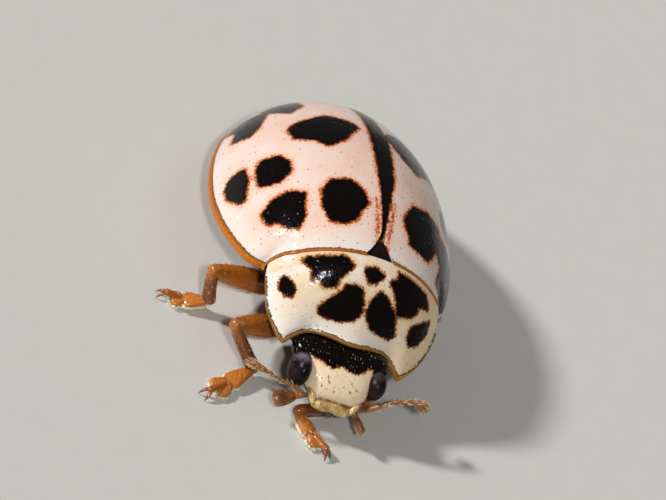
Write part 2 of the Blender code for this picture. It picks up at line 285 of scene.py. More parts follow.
# %% [markdown]
# ## The spots, drawn on the shell
#
# The spots are black pigment laid down inside the chitin. Each could be cut as its own
# patch or painted on an image, but neither follows a dome cleanly. Here a spot is an outline
# of a few corners laid flat against the shell at its middle, and every point of the mesh
# stores how far it is from the nearest outline. The material then turns that distance into
# black, an orange fringe and cream, and can fray the edge as finely as it likes.

# %% Outline helpers
FAR = 0.4                   # distances past this many mm don't matter to any finish


def stretch_distance(points, a, b):
    """Distance from each point to the straight stretch from a to b."""
    edge, reach = b - a, points - a
    along = np.clip(reach @ edge / max(edge @ edge, 1e-12), 0, 1)
    return np.linalg.norm(reach - along[:, None] * edge, axis=1)


def nearest_stretch(points, stretches):
    """Distance from each point to the nearest of some stretches of line."""
    best = np.full(len(points), FAR)
    for a, b in stretches:
        best = np.minimum(best, stretch_distance(points, a, b))
    return best


def outline_distance(flat, corners):
    """Distance in the plane from points to a closed outline, negative inside it."""
    corners = np.array(corners)
    best = np.full(len(flat), np.inf)
    inside = np.zeros(len(flat), bool)
    for a, b in zip(corners, np.roll(corners, -1, axis=0)):
        best = np.minimum(best, stretch_distance(flat, a, b))
        crosses = (a[1] > flat[:, 1]) != (b[1] > flat[:, 1])
        run, rise = b - a
        inside ^= crosses & (flat[:, 0] < a[0] + (flat[:, 1] - a[1]) * run / (rise or 1.0))
    return np.where(inside, -best, best)


def spot_distance(points, normals, spots):
    """Distance along the shell to the nearest spot edge, negative inside a spot.

    A spot is its middle (x, y) and its corners, in mm: towards +X, then towards the rear.
    It marks only points within 1 mm that face roughly as its middle does.
    """
    nearest = np.full(len(points), FAR)
    upper = np.where(normals[:, 2] > 0.1)[0]
    for (x, y), corners in spots:
        middle = upper[np.argmin(np.hypot(points[upper, 0] - x, points[upper, 1] - y))]
        across = np.cross((0, 1, 0), normals[middle])
        across /= np.linalg.norm(across)
        back = np.cross(normals[middle], across)
        reach = points - points[middle]
        flat = np.column_stack((reach @ across, reach @ back))
        facing = (normals @ normals[middle] > 0.2) & (np.linalg.norm(reach, axis=1) < 1)
        nearest = np.minimum(nearest, np.where(facing, outline_distance(flat, corners), FAR))
    return nearest


def store(piece, name, values):
    """Keep one number for each point of the mesh, for a material to read."""
    attributes = piece.data.attributes
    attribute = attributes.get(name) or attributes.new(name, "FLOAT", "POINT")
    attribute.data.foreach_set("value", np.asarray(values, np.float32))


right_low, right_high = solid_box("elytron_right")
left_low, left_high = solid_box("elytron_left")
MIDDLE_X = (right_high.x + left_low.x) / 2
CASE_FRONT, CASE_REAR = right_low.y, right_high.y
HALF_WIDTH = left_high.x - MIDDLE_X
CASE_LENGTH = CASE_REAR - CASE_FRONT
print("middle line x", round(MIDDLE_X, 4), "half width", round(HALF_WIDTH, 3))

# %% [markdown]
# ## Spotted chitin
#
# Wing cases and pronotum are the same stuff: clear hard chitin over a pale lining, with black
# pigment in spots. Light goes a little way in, so it scatters; the surface is smooth with a
# pinprick pit every sixteenth of a millimetre, which breaks its gloss into sparks. Where the
# pigment thins out at a spot's edge the eye sees burnt orange, frayed by the tiny pillars
# inside the shell. Along the outer rim there is no lining, so the bare chitin shows amber.

# %% Spotted chitin
SPOT_BLACK = linear("#090403")
FRINGE_DARK = linear("#451806")
SPECK_BROWN = linear("#5e2a0c")


def spotted_chitin(name, pale, blush, fringe_edge, rim_width, speck_strength, rim_clear, rim_dark,
                   pitting=.3):
    """Pale chitin with black spots that fray into orange, and a bare rim."""
    material, tree, place = new_material(name)
    spots, rim = stored(tree, "spot_edge"), stored(tree, "rim_edge")
    # The black frays in teeth of about 0.04 mm, on lobes of about 0.15 mm
    teeth, lobes = noise(tree, place, 24), noise(tree, place, 7, 1.0)
    fray = maths(tree, "MULTIPLY_ADD", teeth, 0.07, -0.04)
    fray = maths(tree, "MULTIPLY_ADD", lobes, 0.04, fray)
    frayed = maths(tree, "ADD", spots, fray)
    black = fade(tree, frayed, 0.016, 0.026)
    # The fringe frays by itself, in threads of 0.02 mm, out to about 0.05 mm past the black
    thin = maths(tree, "MULTIPLY_ADD", noise(tree, place, 48, 1.0), 0.08, frayed)
    fringe = fade(tree, thin, 0.09, 0.11)
    burnt = mix(tree, ramp(tree, frayed, 0.024, 0.05), FRINGE_DARK, linear(fringe_edge))
    # Pale lining with soft blushes of half a millimetre, more about the spots, none by the rim, and
    # all over where the piece stores painted shade: a tan blush for the side that the key light
    # misses
    halo = fade(tree, spots, 0.05, 0.2)
    cloud = ramp(tree, noise(tree, place, 1.6), 0.3, 0.7, 0.25, 0.9)
    cloud = maths(tree, "MAXIMUM", cloud, halo)
    # Towards the rim the blush fades to the pale colour: partly the lining's own paleness, partly a
    # painted highlight for the broad sheen along the shells' edges
    cloud = maths(tree, "MULTIPLY", cloud, ramp(tree, rim, 0.05, FAR))
    cloud = maths(tree, "MAXIMUM", cloud, stored(tree, "painted_side_shade"))
    lining = mix(tree, cloud, linear(pale), linear(blush))
    # Pits 0.06 mm apart and 0.02 mm wide; some two in five are brown specks, more by a spot
    pits = add_node(tree, "TexVoronoi", {"Scale": 16 * PER_MM, "Vector": place}, "Distance")
    pit = fade(tree, pits, 0.08, 0.22)
    crowd = maths(tree, "MULTIPLY_ADD", halo, 0.16, pits.node.outputs["Color"])
    speck = maths(tree, "MULTIPLY", pit, ramp(tree, crowd, 0.52, 0.6, 0.0, speck_strength))
    pale_side = mix(tree, speck, lining, SPECK_BROWN)
    spotted = mix(tree, black, mix(tree, fringe, pale_side, burnt), SPOT_BLACK)
    # The bare rim darkens inwards, and its inner edge is toothed
    worn = maths(tree, "ADD", rim, maths(tree, "MULTIPLY_ADD", teeth, 0.05, -0.025))
    bare = fade(tree, worn, rim_width, rim_width + 0.007)
    groove = ramp(tree, worn, rim_width * 0.35, rim_width, 0.0, 0.9)
    colour = mix(tree, bare, spotted, mix(tree, groove, linear(rim_clear), linear(rim_dark)))
    # Relief: pits pricked in, over a grain of 0.045 mm and a ripple of 0.25 mm
    ripple = noise(tree, place, 4)
    relief = maths(tree, "MULTIPLY_ADD", noise(tree, place, 22), 0.6, ripple)
    relief = maths(tree, "MULTIPLY_ADD", pit, -pitting, relief)
    return finish_chitin(material, colour, ramp(tree, ripple, 0.0, 1.0, 0.07, 0.21),
                         {"Specular IOR Level": 0.2, "Subsurface Weight": 0.2,
                          "Subsurface Radius": (1.0, 0.55, 0.3), "Subsurface Scale": 0.06 * MM},
                         relief, 0.6, 0.012)


wing_case_chitin = spotted_chitin("pale_spotted_chitin", "#eadfd7", "#ebc1ab", "#c66a22",
                                  0.08, 0.75, "#c4701e", "#503612")
pronotum_chitin = spotted_chitin("cream_spotted_chitin", "#f6ece3", "#e6c493", "#94592a",
                                 0.03, 0.5, "#a2743a", "#4d3a1c")

# %% [markdown]
# ## The wing cases
#
# The wing cases, or elytra, are the hardened front pair of wings. Each is half of the dome,
# with a raised bead along its outer edge and a groove inside the bead. They could be cut from
# a sphere, but the CAD solid already has the true curve in 23 cross-sections, so a copy of
# it is the blank: its edges are bevelled, Subdivision Surface rounds it, and the bead and
# groove are pushed out and in along the normals, as a modeller would with a small tool.

# %% Spot outlines of the wing cases
# Middle of each spot: share of the half width from the suture, share of the length from the front.
# Corners in mm: towards the suture, then towards the rear.
ROUND_SPOT = [(.31, .02), (.13, -.27), (-.01, -.33), (-.16, -.31), (-.25, -.09), (-.25, .14),
              (-.13, .30), (.11, .33), (.25, .20)]
SHOULDER_SPOT = [(.25, .22), (.20, -.12), (.12, -.27), (-.01, -.24), (-.11, -.12),
                 (-.24, -.12), (-.31, .04), (-.15, .19), (.05, .27)]
MIDDLE_SPOT = [(-.18, -.18), (-.21, .03), (-.15, .22), (.08, .23), (.21, .10), (.22, -.06),
               (.07, -.21)]
SIDE_SPOT = [(.11, .23), (.15, .08), (.08, -.25), (.01, -.25), (-.16, -.09), (-.19, .07),
             (-.13, .17), (.04, .25)]
WIDE_SPOT = [(-.42, .05), (-.40, .12), (-.26, .21), (.07, .36), (.34, .29), (.45, .19),
             (.25, -.17), (.04, -.31), (-.09, -.21), (-.36, -.13)]
REAR_SPOT = [(.30, -.17), (.17, -.38), (-.20, -.18), (-.24, .06), (-.05, .20), (.19, .15)]
FLANK_SPOT = [(.31, .08), (.28, -.34), (.19, -.46), (-.08, -.43), (-.06, -.18), (-.27, -.01),
              (-.20, .18), (.10, .22)]
TIP_SPOT = [(.16, -.14), (-.02, -.19), (-.20, -.08), (-.18, .12), (.02, .18), (.17, .10)]
SHARED_SPOTS = [((.756, .370), MIDDLE_SPOT), ((.929, .351), SIDE_SPOT),
                ((.387, .571), WIDE_SPOT), ((.537, .812), REAR_SPOT),
                ((.774, .741), FLANK_SPOT), ((.22, .93), TIP_SPOT)]
# The front two differ a little from side to side
LONG_SPOT = [(-.15, -.33), (.19, -.29), (.24, -.15), (.29, -.10), (.32, .04), (.19, .30),
             (-.08, .37), (-.22, .36), (-.38, .30), (-.36, .05)]
STRETCHED_SPOT = [(.46, .23), (.43, .41), (.10, .46), (-.30, .30), (-.36, 0), (-.23, -.41),
                  (.13, -.31), (.28, -.25), (.28, .02)]
SPOTS = {"right": [((.325, .201), ROUND_SPOT), ((.685, .178), SHOULDER_SPOT)] + SHARED_SPOTS,
         "left": [((.394, .191), LONG_SPOT), ((.747, .120), STRETCHED_SPOT)] + SHARED_SPOTS}
# Half width of the black along the suture: share of the length from the front, then mm
STRIPE = {"right": [(0, .012), (.10, .012), (.22, .03), (.35, .045), (.55, .045), (.8, .03),
                    (1, .03)],
          "left": [(0, .02), (.10, .03), (.22, .09), (.35, .165), (.55, .20), (.8, .14), (1, .06)]}
print({side: len(spots) for side, spots in SPOTS.items()}, "spots")

# %% Shape and paint the wing cases
BEAD_WIDTH, BEAD_HEIGHT = 0.055, 0.018
GROOVE_WIDTH, GROOVE_DEPTH = 0.05, 0.014
FRONT_BEAD_CUT = 0.03       # the bead is this much narrower along the front edge
FRONT_RIM_CUT = 0.045       # and so is the bare rim
SHOULDER_RADIUS = 0.3
SUTURE_GAP = (left_low.x - right_high.x) / 2
SUTURE_PULL = 0.2           # mm of each case that is drawn in to close the gap
CASE_UPPER_SIDE = 0.02      # least rise of the normal of a face on the upper side
ON_EDGE = 0.01              # mm: what lies this near the front is on the front edge
FRINGE_STANDS_OFF = 0.07    # mm from the stripe to the middle of its broken line
NO_LEDGE = 9                # mm from the middle: farther out than any ledge


def keep_upper_side(piece, flattest, ledge=NO_LEDGE):
    """Delete each face whose normal rises less than this, and inner ledges out past a width."""
    pick(piece, "FACE", lambda face: face.normal.z < flattest
         or abs(face.normal.x) < .02 and abs(face.center.x - MIDDLE_X) > ledge)
    bpy.ops.mesh.delete(type="FACE")
    end_edit()


def outline_of(node, flattest, ledge=NO_LEDGE):
    """The border of a shell's upper side: pairs of points where it turns sharply down."""
    blank = copy_of(node, "blank")
    keep_upper_side(blank, flattest, ledge)
    sides = {}
    for face in blank.data.polygons:
        for key in face.edge_keys:
            sides[key] = sides.get(key, 0) + 1
    points = corners_of(blank)
    pairs = [points[list(key)] for key, count in sides.items() if count == 1]
    bpy.data.objects.remove(blank)
    return pairs


def round_shoulder(points):
    """Round the front outer corner of a wing case in plan, by moving a square onto a disc."""
    out = np.abs(points[:, 0] - MIDDLE_X)
    corner = np.array((out[points[:, 1] < CASE_FRONT + 0.02].max(), CASE_FRONT))
    centre = corner + (-SHOULDER_RADIUS, SHOULDER_RADIUS)
    reach = np.column_stack((out, points[:, 1])) - centre
    beyond = (reach[:, 0] > 0) & (reach[:, 1] < 0)
    length = np.maximum(np.linalg.norm(reach, axis=1), 1e-9)
    shrink = np.where(beyond, np.abs(reach).max(axis=1) / length, 1.0)
    moved = points.copy()
    moved[:, 0] = MIDDLE_X + np.sign(points[:, 0] - MIDDLE_X) * (centre[0] + reach[:, 0] * shrink)
    moved[:, 1] = centre[1] + reach[:, 1] * shrink
    return np.where(beyond[:, None], moved, points)


def close_suture(points):
    """Bring a case's inner edge up to the middle line, where the solids leave a gap."""
    out = points[:, 0] - MIDDLE_X
    near = np.clip(1 - (np.abs(out) - SUTURE_GAP) / SUTURE_PULL, 0, 1)
    moved = points.copy()
    moved[:, 0] -= np.sign(out) * near * (SUTURE_GAP - .001)
    return moved


def raise_bead(piece, rim):
    """Push a rounded bead out along the rim, and a groove in beside it."""
    points, normals = corners_of(piece), normals_of(piece)
    bead = np.clip(rim / BEAD_WIDTH, 0, 1)
    groove = np.clip(1 - np.abs(rim - BEAD_WIDTH - GROOVE_WIDTH / 3) / (GROOVE_WIDTH / 2), 0, 1)
    lift = BEAD_HEIGHT * np.sin(math.pi * bead) - GROOVE_DEPTH * groove ** 2 * (3 - 2 * groove)
    set_corners(piece, points + normals * lift[:, None])


def shape_wing_case(side):
    """Round, bead and close one wing case, and store where its spots and its rim are."""
    border = outline_of(f"elytron_{side}", CASE_UPPER_SIDE)
    front, outer = [], []
    for pair in border:
        out = np.abs(pair[:, 0] - MIDDLE_X).min()
        if pair[:, 1].max() < CASE_FRONT + ON_EDGE:
            front.append(pair)
        # The suture has no bead: what lies within 0.22 mm of the middle, or 0.03 at the rear
        if pair[:, 1].max() > CASE_FRONT + ON_EDGE and out > .03 and (
                out > .22 or pair[:, 1].min() > CASE_REAR - .5):
            outer.append(pair)
    case = round_edges(copy_of(f"elytron_{side}", f"wing_case_{side}"), 0.018, 38)
    points, normals = corners_of(case), normals_of(case)
    to_outer, to_front = nearest_stretch(points, outer), nearest_stretch(points, front)
    bead = np.minimum(to_outer, to_front + FRONT_BEAD_CUT)
    raise_bead(case, bead)
    set_corners(case, close_suture(round_shoulder(corners_of(case))))
    # The underside has no lining, and neither has the low wall at the rear
    rim = np.minimum(to_outer, to_front + FRONT_RIM_CUT)
    steep = np.where(points[:, 1] > CASE_REAR - .3, -.02, -.2)
    rim = np.where(normals[:, 2] < steep, 0, rim)
    mirror = np.array((1 if side == "right" else -1, 1, 1))
    local = (points - (MIDDLE_X, 0, 0)) * mirror
    spots = [((-x * HALF_WIDTH, CASE_FRONT + y * CASE_LENGTH), corners)
             for (x, y), corners in SPOTS[side]]
    spot = spot_distance(local, normals * mirror, spots)
    share = (points[:, 1] - CASE_FRONT) / CASE_LENGTH
    stripe = np.abs(local[:, 0]) - np.interp(share, *zip(*STRIPE[side]))
    # In the front third the stripe's fringe stands off from it as a thin broken line
    apart = np.clip((.36 - share) / .12, 0, 1)
    fringe_line = np.abs(stripe - FRINGE_STANDS_OFF) + .024 + (1 - apart) * FAR
    stripe = np.minimum(stripe * (1 + apart), fringe_line)
    # The front wall, which the pronotum's hind edge all but covers, is painted black: painted
    # shadow of the gap under that edge
    painted_shadow_wall = (normals[:, 1] < -.6) & (points[:, 1] < CASE_FRONT + .06) & (bead > FRONT_BEAD_CUT + .01)
    spot = np.where(painted_shadow_wall, -FAR, np.minimum(spot, np.clip(stripe, -FAR, FAR)))
    store(case, "spot_edge", spot)
    store(case, "rim_edge", np.where(painted_shadow_wall, FAR, rim))
    to_life_size(case, "elytra", wing_case_chitin, f"elytron_{side}")


for side in ("right", "left"):
    shape_wing_case(side)

# %% [markdown]
# ## The scutellum
#
# The scutellum is the small black triangle where the wing cases meet the pronotum, the only
# part of the hind body's back that shows. A wedge could be cut for it, but the CAD solid has
# the outline, so it is rounded and given the finish that all the dark chitin here has:
# black-brown, glossy, and pricked with fine pits, here a twentieth of a millimetre apart.

# %% Black chitin and the scutellum
def pitted_chitin(name, dark, light, pits_per_mm, roughness, depth):
    """Glossy unspotted chitin with fine pits and two shades that drift over half a millimetre."""
    material, tree, place = new_material(name)
    cloud = ramp(tree, noise(tree, place, 2.2, 3.0), 0.35, 0.65)
    pits = add_node(tree, "TexVoronoi", {"Scale": pits_per_mm * PER_MM, "Randomness": 0.8,
                                         "Vector": place}, "Distance")
    pit = fade(tree, pits, 0.08, 0.3)
    colour = mix(tree, cloud, linear(dark), linear(light))
    colour = mix(tree, maths(tree, "MULTIPLY", pit, 0.6), colour, linear(dark))
    return finish_chitin(material, colour,
                         ramp(tree, cloud, 0.0, 1.0, roughness, roughness + 0.12),
                         {"Specular IOR Level": 0.3},
                         maths(tree, "MULTIPLY_ADD", pit, -1.0, cloud), 0.7, depth)


black_chitin = pitted_chitin("black_pitted_chitin", "#080403", "#1c0f0a", 20, 0.24, 0.006)
scutellum = round_edges(copy_of("scutellum", "scutellum_plate"), 0.02, 38)
to_life_size(scutellum, "scutellum", black_chitin, "scutellum")

# %% [markdown]
# ## The pronotum
#
# The pronotum is the shield behind the head. Its front corners reach forward past the eyes,
# its sides thin out to a clear amber border with a fine bead, and its back edge tucks
# against the wing cases with a pale lip. It is made as the wing cases are, from its CAD
# solid, with its own seven spots.

# %% Shape and paint the pronotum
shield_low, shield_high = solid_box("pronotum")
SHIELD_HALF = (shield_high.x - shield_low.x) / 2
SHIELD_LENGTH = shield_high.y - shield_low.y
# Middle of each spot: share of the half width from the middle line, share of the length
SHIELD_SPOTS = [
    ((-.865, .596), [(-.01, .13), (.07, .03), (.08, -.07), (.03, -.12), (-.05, -.08),
                     (-.09, 0), (-.06, .09)]),
    ((-.521, .775), [(-.31, .11), (-.25, .14), (.21, .16), (.27, .09), (.31, .04), (.13, -.10),
                     (.09, -.20), (-.05, -.22), (-.10, -.12), (-.20, -.13), (-.19, 0)]),
    ((-.040, .776), [(.13, .03), (.06, -.08), (-.01, -.10), (-.06, -.07), (-.12, .02),
                     (-.11, .05), (0, .09)]),
    ((-.246, .427), [(-.28, -.14), (-.29, -.08), (-.17, .05), (-.06, .15), (0, .24), (.10, .25),
                     (.18, .22), (.25, .04), (.22, -.10), (.17, -.17), (-.04, -.21),
                     (-.24, -.18)]),
    ((.227, .418), [(.26, -.20), (-.05, -.19), (-.15, -.11), (-.21, -.03), (-.23, .13),
                    (-.17, .26), (-.05, .23), (.15, .09), (.30, -.13)]),
    ((.445, .722), [(-.30, .05), (-.22, .10), (-.24, .18), (-.11, .20), (.28, .16), (.41, .04),
                    (.22, -.02), (.25, -.10), (.20, -.19), (.02, -.26), (-.15, -.07),
                    (-.28, .0)]),
    ((.779, .512), [(.01, .22), (.09, .10), (.08, -.10), (-.01, -.19), (-.12, -.14),
                    (-.18, -.04), (-.11, .09)]),
]
SHIELD_THICKNESS = 0.035
CORNER_BEVEL = 0.09         # mm cut off the two front corners
HIND_WIDTH = 0.3            # mm of the pronotum that bends up to meet the wing cases
FRONT_WIDTH = 0.35          # mm of it that follow the front edge's waves
FRONT_BOW, EYE_NOTCH = -0.08, 0.08      # mm that those waves run forward and back
BOW_WIDTH, NOTCH_PLACE, NOTCH_WIDTH = .26, .52, .16     # shares of the half width
SIDE_FLARE = 0.075          # mm that the sides stand out past the solid
FLARE_START = .68           # share of the half width
HIND_EDGE = 0.12            # mm along the hind edge that have no bead and no bare rim
SHIELD_UPPER_SIDE = 0.05    # least rise of the normal of a face on the upper side
LEDGE = 0.8                 # mm from the middle where the solid has a ledge inside
FRONT_RIM_EXTRA = 0.014     # mm that the bare rim is broader over the head
border = outline_of("pronotum", SHIELD_UPPER_SIDE, LEDGE)
pronotum = copy_of("pronotum", "pronotum_shield")
keep_upper_side(pronotum, SHIELD_UPPER_SIDE, LEDGE)
sheet = corners_of(pronotum)
sides = np.sign(sheet[:, 0] - MIDDLE_X)
corner_points = [np.argmin(np.where(sides == side, sheet[:, 1], np.inf)) for side in (-1, 1)]
pick(pronotum, "VERT", lambda point: point.index in corner_points)
bpy.ops.mesh.bevel(offset=CORNER_BEVEL, segments=3, affect="VERTICES")
end_edit()
finish_modifier(pronotum, "SOLIDIFY", thickness=SHIELD_THICKNESS, offset=-1)
round_edges(pronotum, 0.012, 50)
# Its hind edge rises to lie flush with the wing cases. Its front edge runs forward in the
# middle and back over each eye.
points = corners_of(pronotum)
rim = nearest_stretch(points, border)
out = np.abs(points[:, 0] - MIDDLE_X) / SHIELD_HALF
edge = np.array(border).mean(axis=1)
edge_out = np.abs(edge[:, 0] - MIDDLE_X) / SHIELD_HALF
slots = np.linspace(0, 1, 13)
hind_line, front_line = [], []
for slot in slots:
    near = edge[np.abs(edge_out - slot) < .06]
    hind_line.append(near[:, 1].max())
    front_line.append(near[:, 1].min())
from_hind = np.polyval(np.polyfit(slots[:-2] ** 2, hind_line[:-2], 2), out ** 2) - points[:, 1]
from_front = points[:, 1] - np.polyval(np.polyfit(slots ** 2, front_line, 3), out ** 2)
share = np.clip(1 - from_hind / HIND_WIDTH, 0, 1) ** 2
points[:, 2] += share * (.02 + .03 * out ** 2)
points[:, 1] += share * .03
flare = np.clip((out - FLARE_START) / .32, 0, 1) ** 2 * SIDE_FLARE
points[:, 0] += np.sign(points[:, 0] - MIDDLE_X) * flare
points[:, 2] -= flare * .6
bow = (FRONT_BOW * np.exp(-(out / BOW_WIDTH) ** 2)
       + EYE_NOTCH * np.exp(-((out - NOTCH_PLACE) / NOTCH_WIDTH) ** 2))
points[:, 1] += np.clip(1 - from_front / FRONT_WIDTH, 0, 1) ** 2 * bow
set_corners(pronotum, points)
normals = normals_of(pronotum)
hind = points[:, 1] > shield_high.y - HIND_EDGE
raise_bead(pronotum, np.where(hind, FAR, rim * 1.6))
local = points - (MIDDLE_X, 0, 0)
spots = [((x * SHIELD_HALF, shield_low.y + y * SHIELD_LENGTH), corners)
         for (x, y), corners in SHIELD_SPOTS]
store(pronotum, "spot_edge", spot_distance(local, normals, spots) * 1.3)
# Its left half gets painted shade: a tan blush for the side away from the key light
store(pronotum, "painted_side_shade", .8 * np.clip(local[:, 0] / .9, 0, 1))
# Its bare rim is broader over the head
rim = rim - FRONT_RIM_EXTRA * np.clip(1.5 - from_front / .06, 0, 1)
store(pronotum, "rim_edge", np.where(hind, FAR, rim))
to_life_size(pronotum, "pronotum", pronotum_chitin, "pronotum")
print(len(border), "border edges")

# %% [markdown]
# ## Growing a part ring by ring
#
# The head, the legs, the feelers and the palps are all tapering tubes with round ends. Each
# could be turned on a lathe or swept along a curve. Here a ring of points is filled, then
# extruded from station to station and scaled at each, which is how such a part is roughed
# out by hand. It stands up along Z while it is made, and is then laid between two joints.

# %% Ring-by-ring modelling
PLACE_WEIGHTS = (1, math.sqrt(2), math.pi)      # x, y and z weighed so that no places tie


def number_by_place(piece):
    """Renumber points and faces by where they lie, because extrude numbers them anew each run."""
    points = corners_of(piece)
    order = np.argsort(points @ PLACE_WEIGHTS)
    number = np.argsort(order)
    faces = []
    for face in piece.data.polygons:
        loop = [int(number[i]) for i in face.vertices]
        first = loop.index(min(loop))
        faces.append(loop[first:] + loop[:first])
    piece.data.clear_geometry()
    piece.data.from_pydata(points[order], [], sorted(faces))


def grow(name, stations, sides=12, levels=2, boxy=1.0):
    """Extrude a ring through stations of (height, half width, half depth, shift along Y).

    boxy under 1 squares the ring's corners a little. Both ends are closed and rounded.
    """
    height, width, depth, shift = (*stations[0], 0.0)[:4]
    bpy.ops.mesh.primitive_circle_add(vertices=sides, radius=1, fill_type="NGON",
                                      location=(0, 0, 0))
    piece = bpy.context.object
    piece.name = piece.data.name = name
    ring = corners_of(piece)
    ring = np.sign(ring) * np.abs(ring) ** boxy * (width, depth, 0) + (0, shift, height)
    set_corners(piece, ring)
    edit_all(piece)
    for station in stations[1:]:
        z, wide, deep, aside = (*station, 0.0)[:4]
        step = (0, aside - shift, z - height)
        bpy.ops.mesh.extrude_region_move(TRANSFORM_OT_translate={"value": step})
        bpy.ops.transform.resize(value=(wide / width, deep / depth, 1),
                                 center_override=(0, aside, z))
        height, width, depth, shift = z, wide, deep, aside
    bpy.ops.mesh.select_all(action="SELECT")
    bpy.ops.mesh.normals_make_consistent(inside=False)
    end_edit()
    number_by_place(piece)
    return smooth_out(piece, levels)


def along_axes(start, end, side_hint):
    """A frame at start whose Z runs to end and whose X leans towards side_hint."""
    z = (Vector(end) - Vector(start)).normalized()
    x = (Vector(side_hint) - z * z.dot(Vector(side_hint))).normalized()
    turn = Matrix((x, z.cross(x), z)).transposed().to_4x4()
    turn.translation = start
    return turn


def lay(piece, axes):
    """Turn and move a part that was grown upright into its place on the beetle."""
    piece.matrix_world = axes
    return settle(piece)


def joined(name, parts):
    """Join separate parts into one piece."""
    hold(parts[0])
    for part in parts[1:]:
        part.select_set(True)
    bpy.ops.object.join()
    parts[0].name = parts[0].data.name = name
    return parts[0]


# %% [markdown]
# ## The head
#
# A ladybird's head is a short capsule tucked under the pronotum: the brow is black, pitted
# and shining, the face below it is cream with a ragged upper edge, and a few brown flecks
# lie along its lower half. It is grown along its own slant. The rings are squared a little,
# because the face is nearly flat between the eyes.

# %% Shape and paint the head
head_low, head_high = solid_box("head")
HEAD_BACK = Vector(((head_low.x + head_high.x) / 2, head_high.y - 0.078, head_high.z - 0.223))
HEAD_FRONT = Vector((HEAD_BACK.x, head_low.y + 0.075, head_low.z + 0.107))
HEAD_ROLL = math.radians(4)
HEAD_ACROSS = Vector((math.cos(HEAD_ROLL), 0, math.sin(HEAD_ROLL)))
HEAD_AXES = along_axes(HEAD_BACK, HEAD_FRONT, HEAD_ACROSS)
# Distance along the face, half width, half depth and rise of each ring
HEAD_RINGS = [(-.34, .32, .08, -.01), (-.29, .50, .13, -.01), (-.18, .60, .165, 0),
              (-.06, .655, .20, .022), (.06, .66, .218, .033),
              (.14, .62, .222, .035), (.19, .54, .222, .035), (.27, .515, .222, .036),
              (.37, .475, .212, .036),
              (.46, .415, .190, .030), (.53, .36, .16, .022), (.58, .31, .125, .012),
              (.605, .25, .08, .0)]
# The cream face: places across and along the head, from its upper corner on the right side
FACE = [(-.455, .13), (-.30, .18), (-.165, .244), (-.12, .215), (-.04, .185), (.01, .195),
        (.08, .22), (.17, .22), (.24, .17), (.31, .11), (.40, .09), (.42, .70), (-.47, .70)]
NARROW_FRINGE = 1.6        # the brow runs into the face with less of a fringe than a spot
face_chitin = spotted_chitin("cream_face_chitin", "#f1dab8", "#e2bd8c", "#94592a", 0.006, 0.2,
                             "#b98a4c", "#8a5a26", 1.3)
# Brown flecks on the face: places across and along the head
FLECKS = [(-.20, .36), (-.17, .42), (-.25, .47), (-.19, .50), (.10, .35), (.14, .38), (.09, .44),
          (.13, .47), (.03, .43), (.20, .42), (-.08, .51), (.18, .50), (-.28, .40)]
head = grow("head_capsule", HEAD_RINGS, sides=32, levels=2, boxy=0.82)
points, normals = corners_of(head), normals_of(head)
brow = -outline_distance(points[:, [0, 2]], FACE) * NARROW_FRINGE
brow[normals[:, 1] < 0] = -FAR / 4          # the underside is dark
store(head, "spot_edge", np.clip(brow, -FAR, FAR))
flecks = [np.array([(x, 0, z), (x + .02, 0, z + .012)]) for x, z in FLECKS]
fleck = nearest_stretch(points * (1, 0, 1), flecks)
store(head, "rim_edge", np.where(normals[:, 1] > .2, fleck, FAR))
lay(head, HEAD_AXES)
to_life_size(head, "head", face_chitin, "head")

# %% [markdown]
# ## The compound eyes
#
# Each eye is a dome of some hundreds of tiny lenses, packed as hexagons. A smooth ball would
# shine with one hard spot. On an icosphere every point has six neighbours, so bevelling its
# points turns each into a hexagon, and poking those outwards makes the lenses. Real lenses
# are 0.015 mm wide; these are twice that, so that they can be seen.

# %% Make the eyes
def eye_material():
    """Near-black chitin, with a bluish painted reflection of the light where the piece stores
    painted sheen.
    """
    material, tree, place = new_material("eye_chitin")
    mist = ramp(tree, noise(tree, place, 9), 0.3, 0.7)
    colour = mix(tree, mist, linear("#100709"), linear("#2b1b20"))
    # Painted sheen: a bluish painted reflection, made patchy by the mist
    painted_sheen = maths(tree, "MULTIPLY", stored(tree, "painted_sheen"), mist)
    return finish_chitin(material, mix(tree, painted_sheen, colour, linear("#8d8898")), 0.24,
                         {"Specular IOR Level": 0.1})


eye_chitin = eye_material()
# Shares of the solid's box left to the head: at its low corner, then at its high corner
EYE_SOCKETS = {"right": ((0, 0, 0), (.22, .04, .04)), "left": ((0, .12, .135), (.18, .04, .03))}
# How much painted sheen each eye gets: less on the left eye, which stands in shade
PAINTED_SHEEN = {"right": .75, "left": .2}
PAINTED_SHEEN_SIDE = (0, .75, .66)      # the painted sheen lies on top, towards the rear, where the light's reflection falls
LENS_SHARE = 44                 # per cent of each edge that a lens takes at either end
LENS_HEIGHT = 0.006             # mm


def make_eye(side):
    low, high = solid_box(f"eye_{side}")
    under, over = (Vector(share) * (high - low) for share in EYE_SOCKETS[side])
    low, high = low + under, high - over
    bpy.ops.mesh.primitive_ico_sphere_add(subdivisions=4, radius=1, location=(low + high) / 2)
    eye = bpy.context.object
    eye.name = eye.data.name = f"compound_eye_{side}"
    eye.scale = (high - low) / 2
    settle(eye)
    edit_all(eye)
    bpy.ops.mesh.bevel(offset_type="PERCENT", offset_pct=LENS_SHARE, affect="VERTICES")
    end_edit()
    # The small triangles between the lenses are the most numerous faces
    small = np.median([face.area for face in eye.data.polygons])
    pick(eye, "FACE", lambda face: face.area > small * 1.6)
    bpy.ops.mesh.poke(offset=LENS_HEIGHT)
    end_edit()
    bpy.ops.object.shade_smooth()
    # Painted sheen on the eye's top and rear, where the light's reflection would fall
    reach = (corners_of(eye) - (low + high) / 2) / ((high - low) / 2) @ PAINTED_SHEEN_SIDE
    store(eye, "painted_sheen", PAINTED_SHEEN[side] * np.clip((reach - .3) / .35, 0, 1))
    to_life_size(eye, "eye", eye_chitin, f"eye_{side}")


for side in ("right", "left"):
    make_eye(side)

# %% [markdown]
# ## Amber chitin
#
# Legs, feelers and mouthparts have no lining and little black pigment, so the chitin shows
# its own colour: clear orange where it is thin, red-brown where it is thick or tanned, as at
# the joints. Light goes well into it. Each part stores how tanned it is along its length.

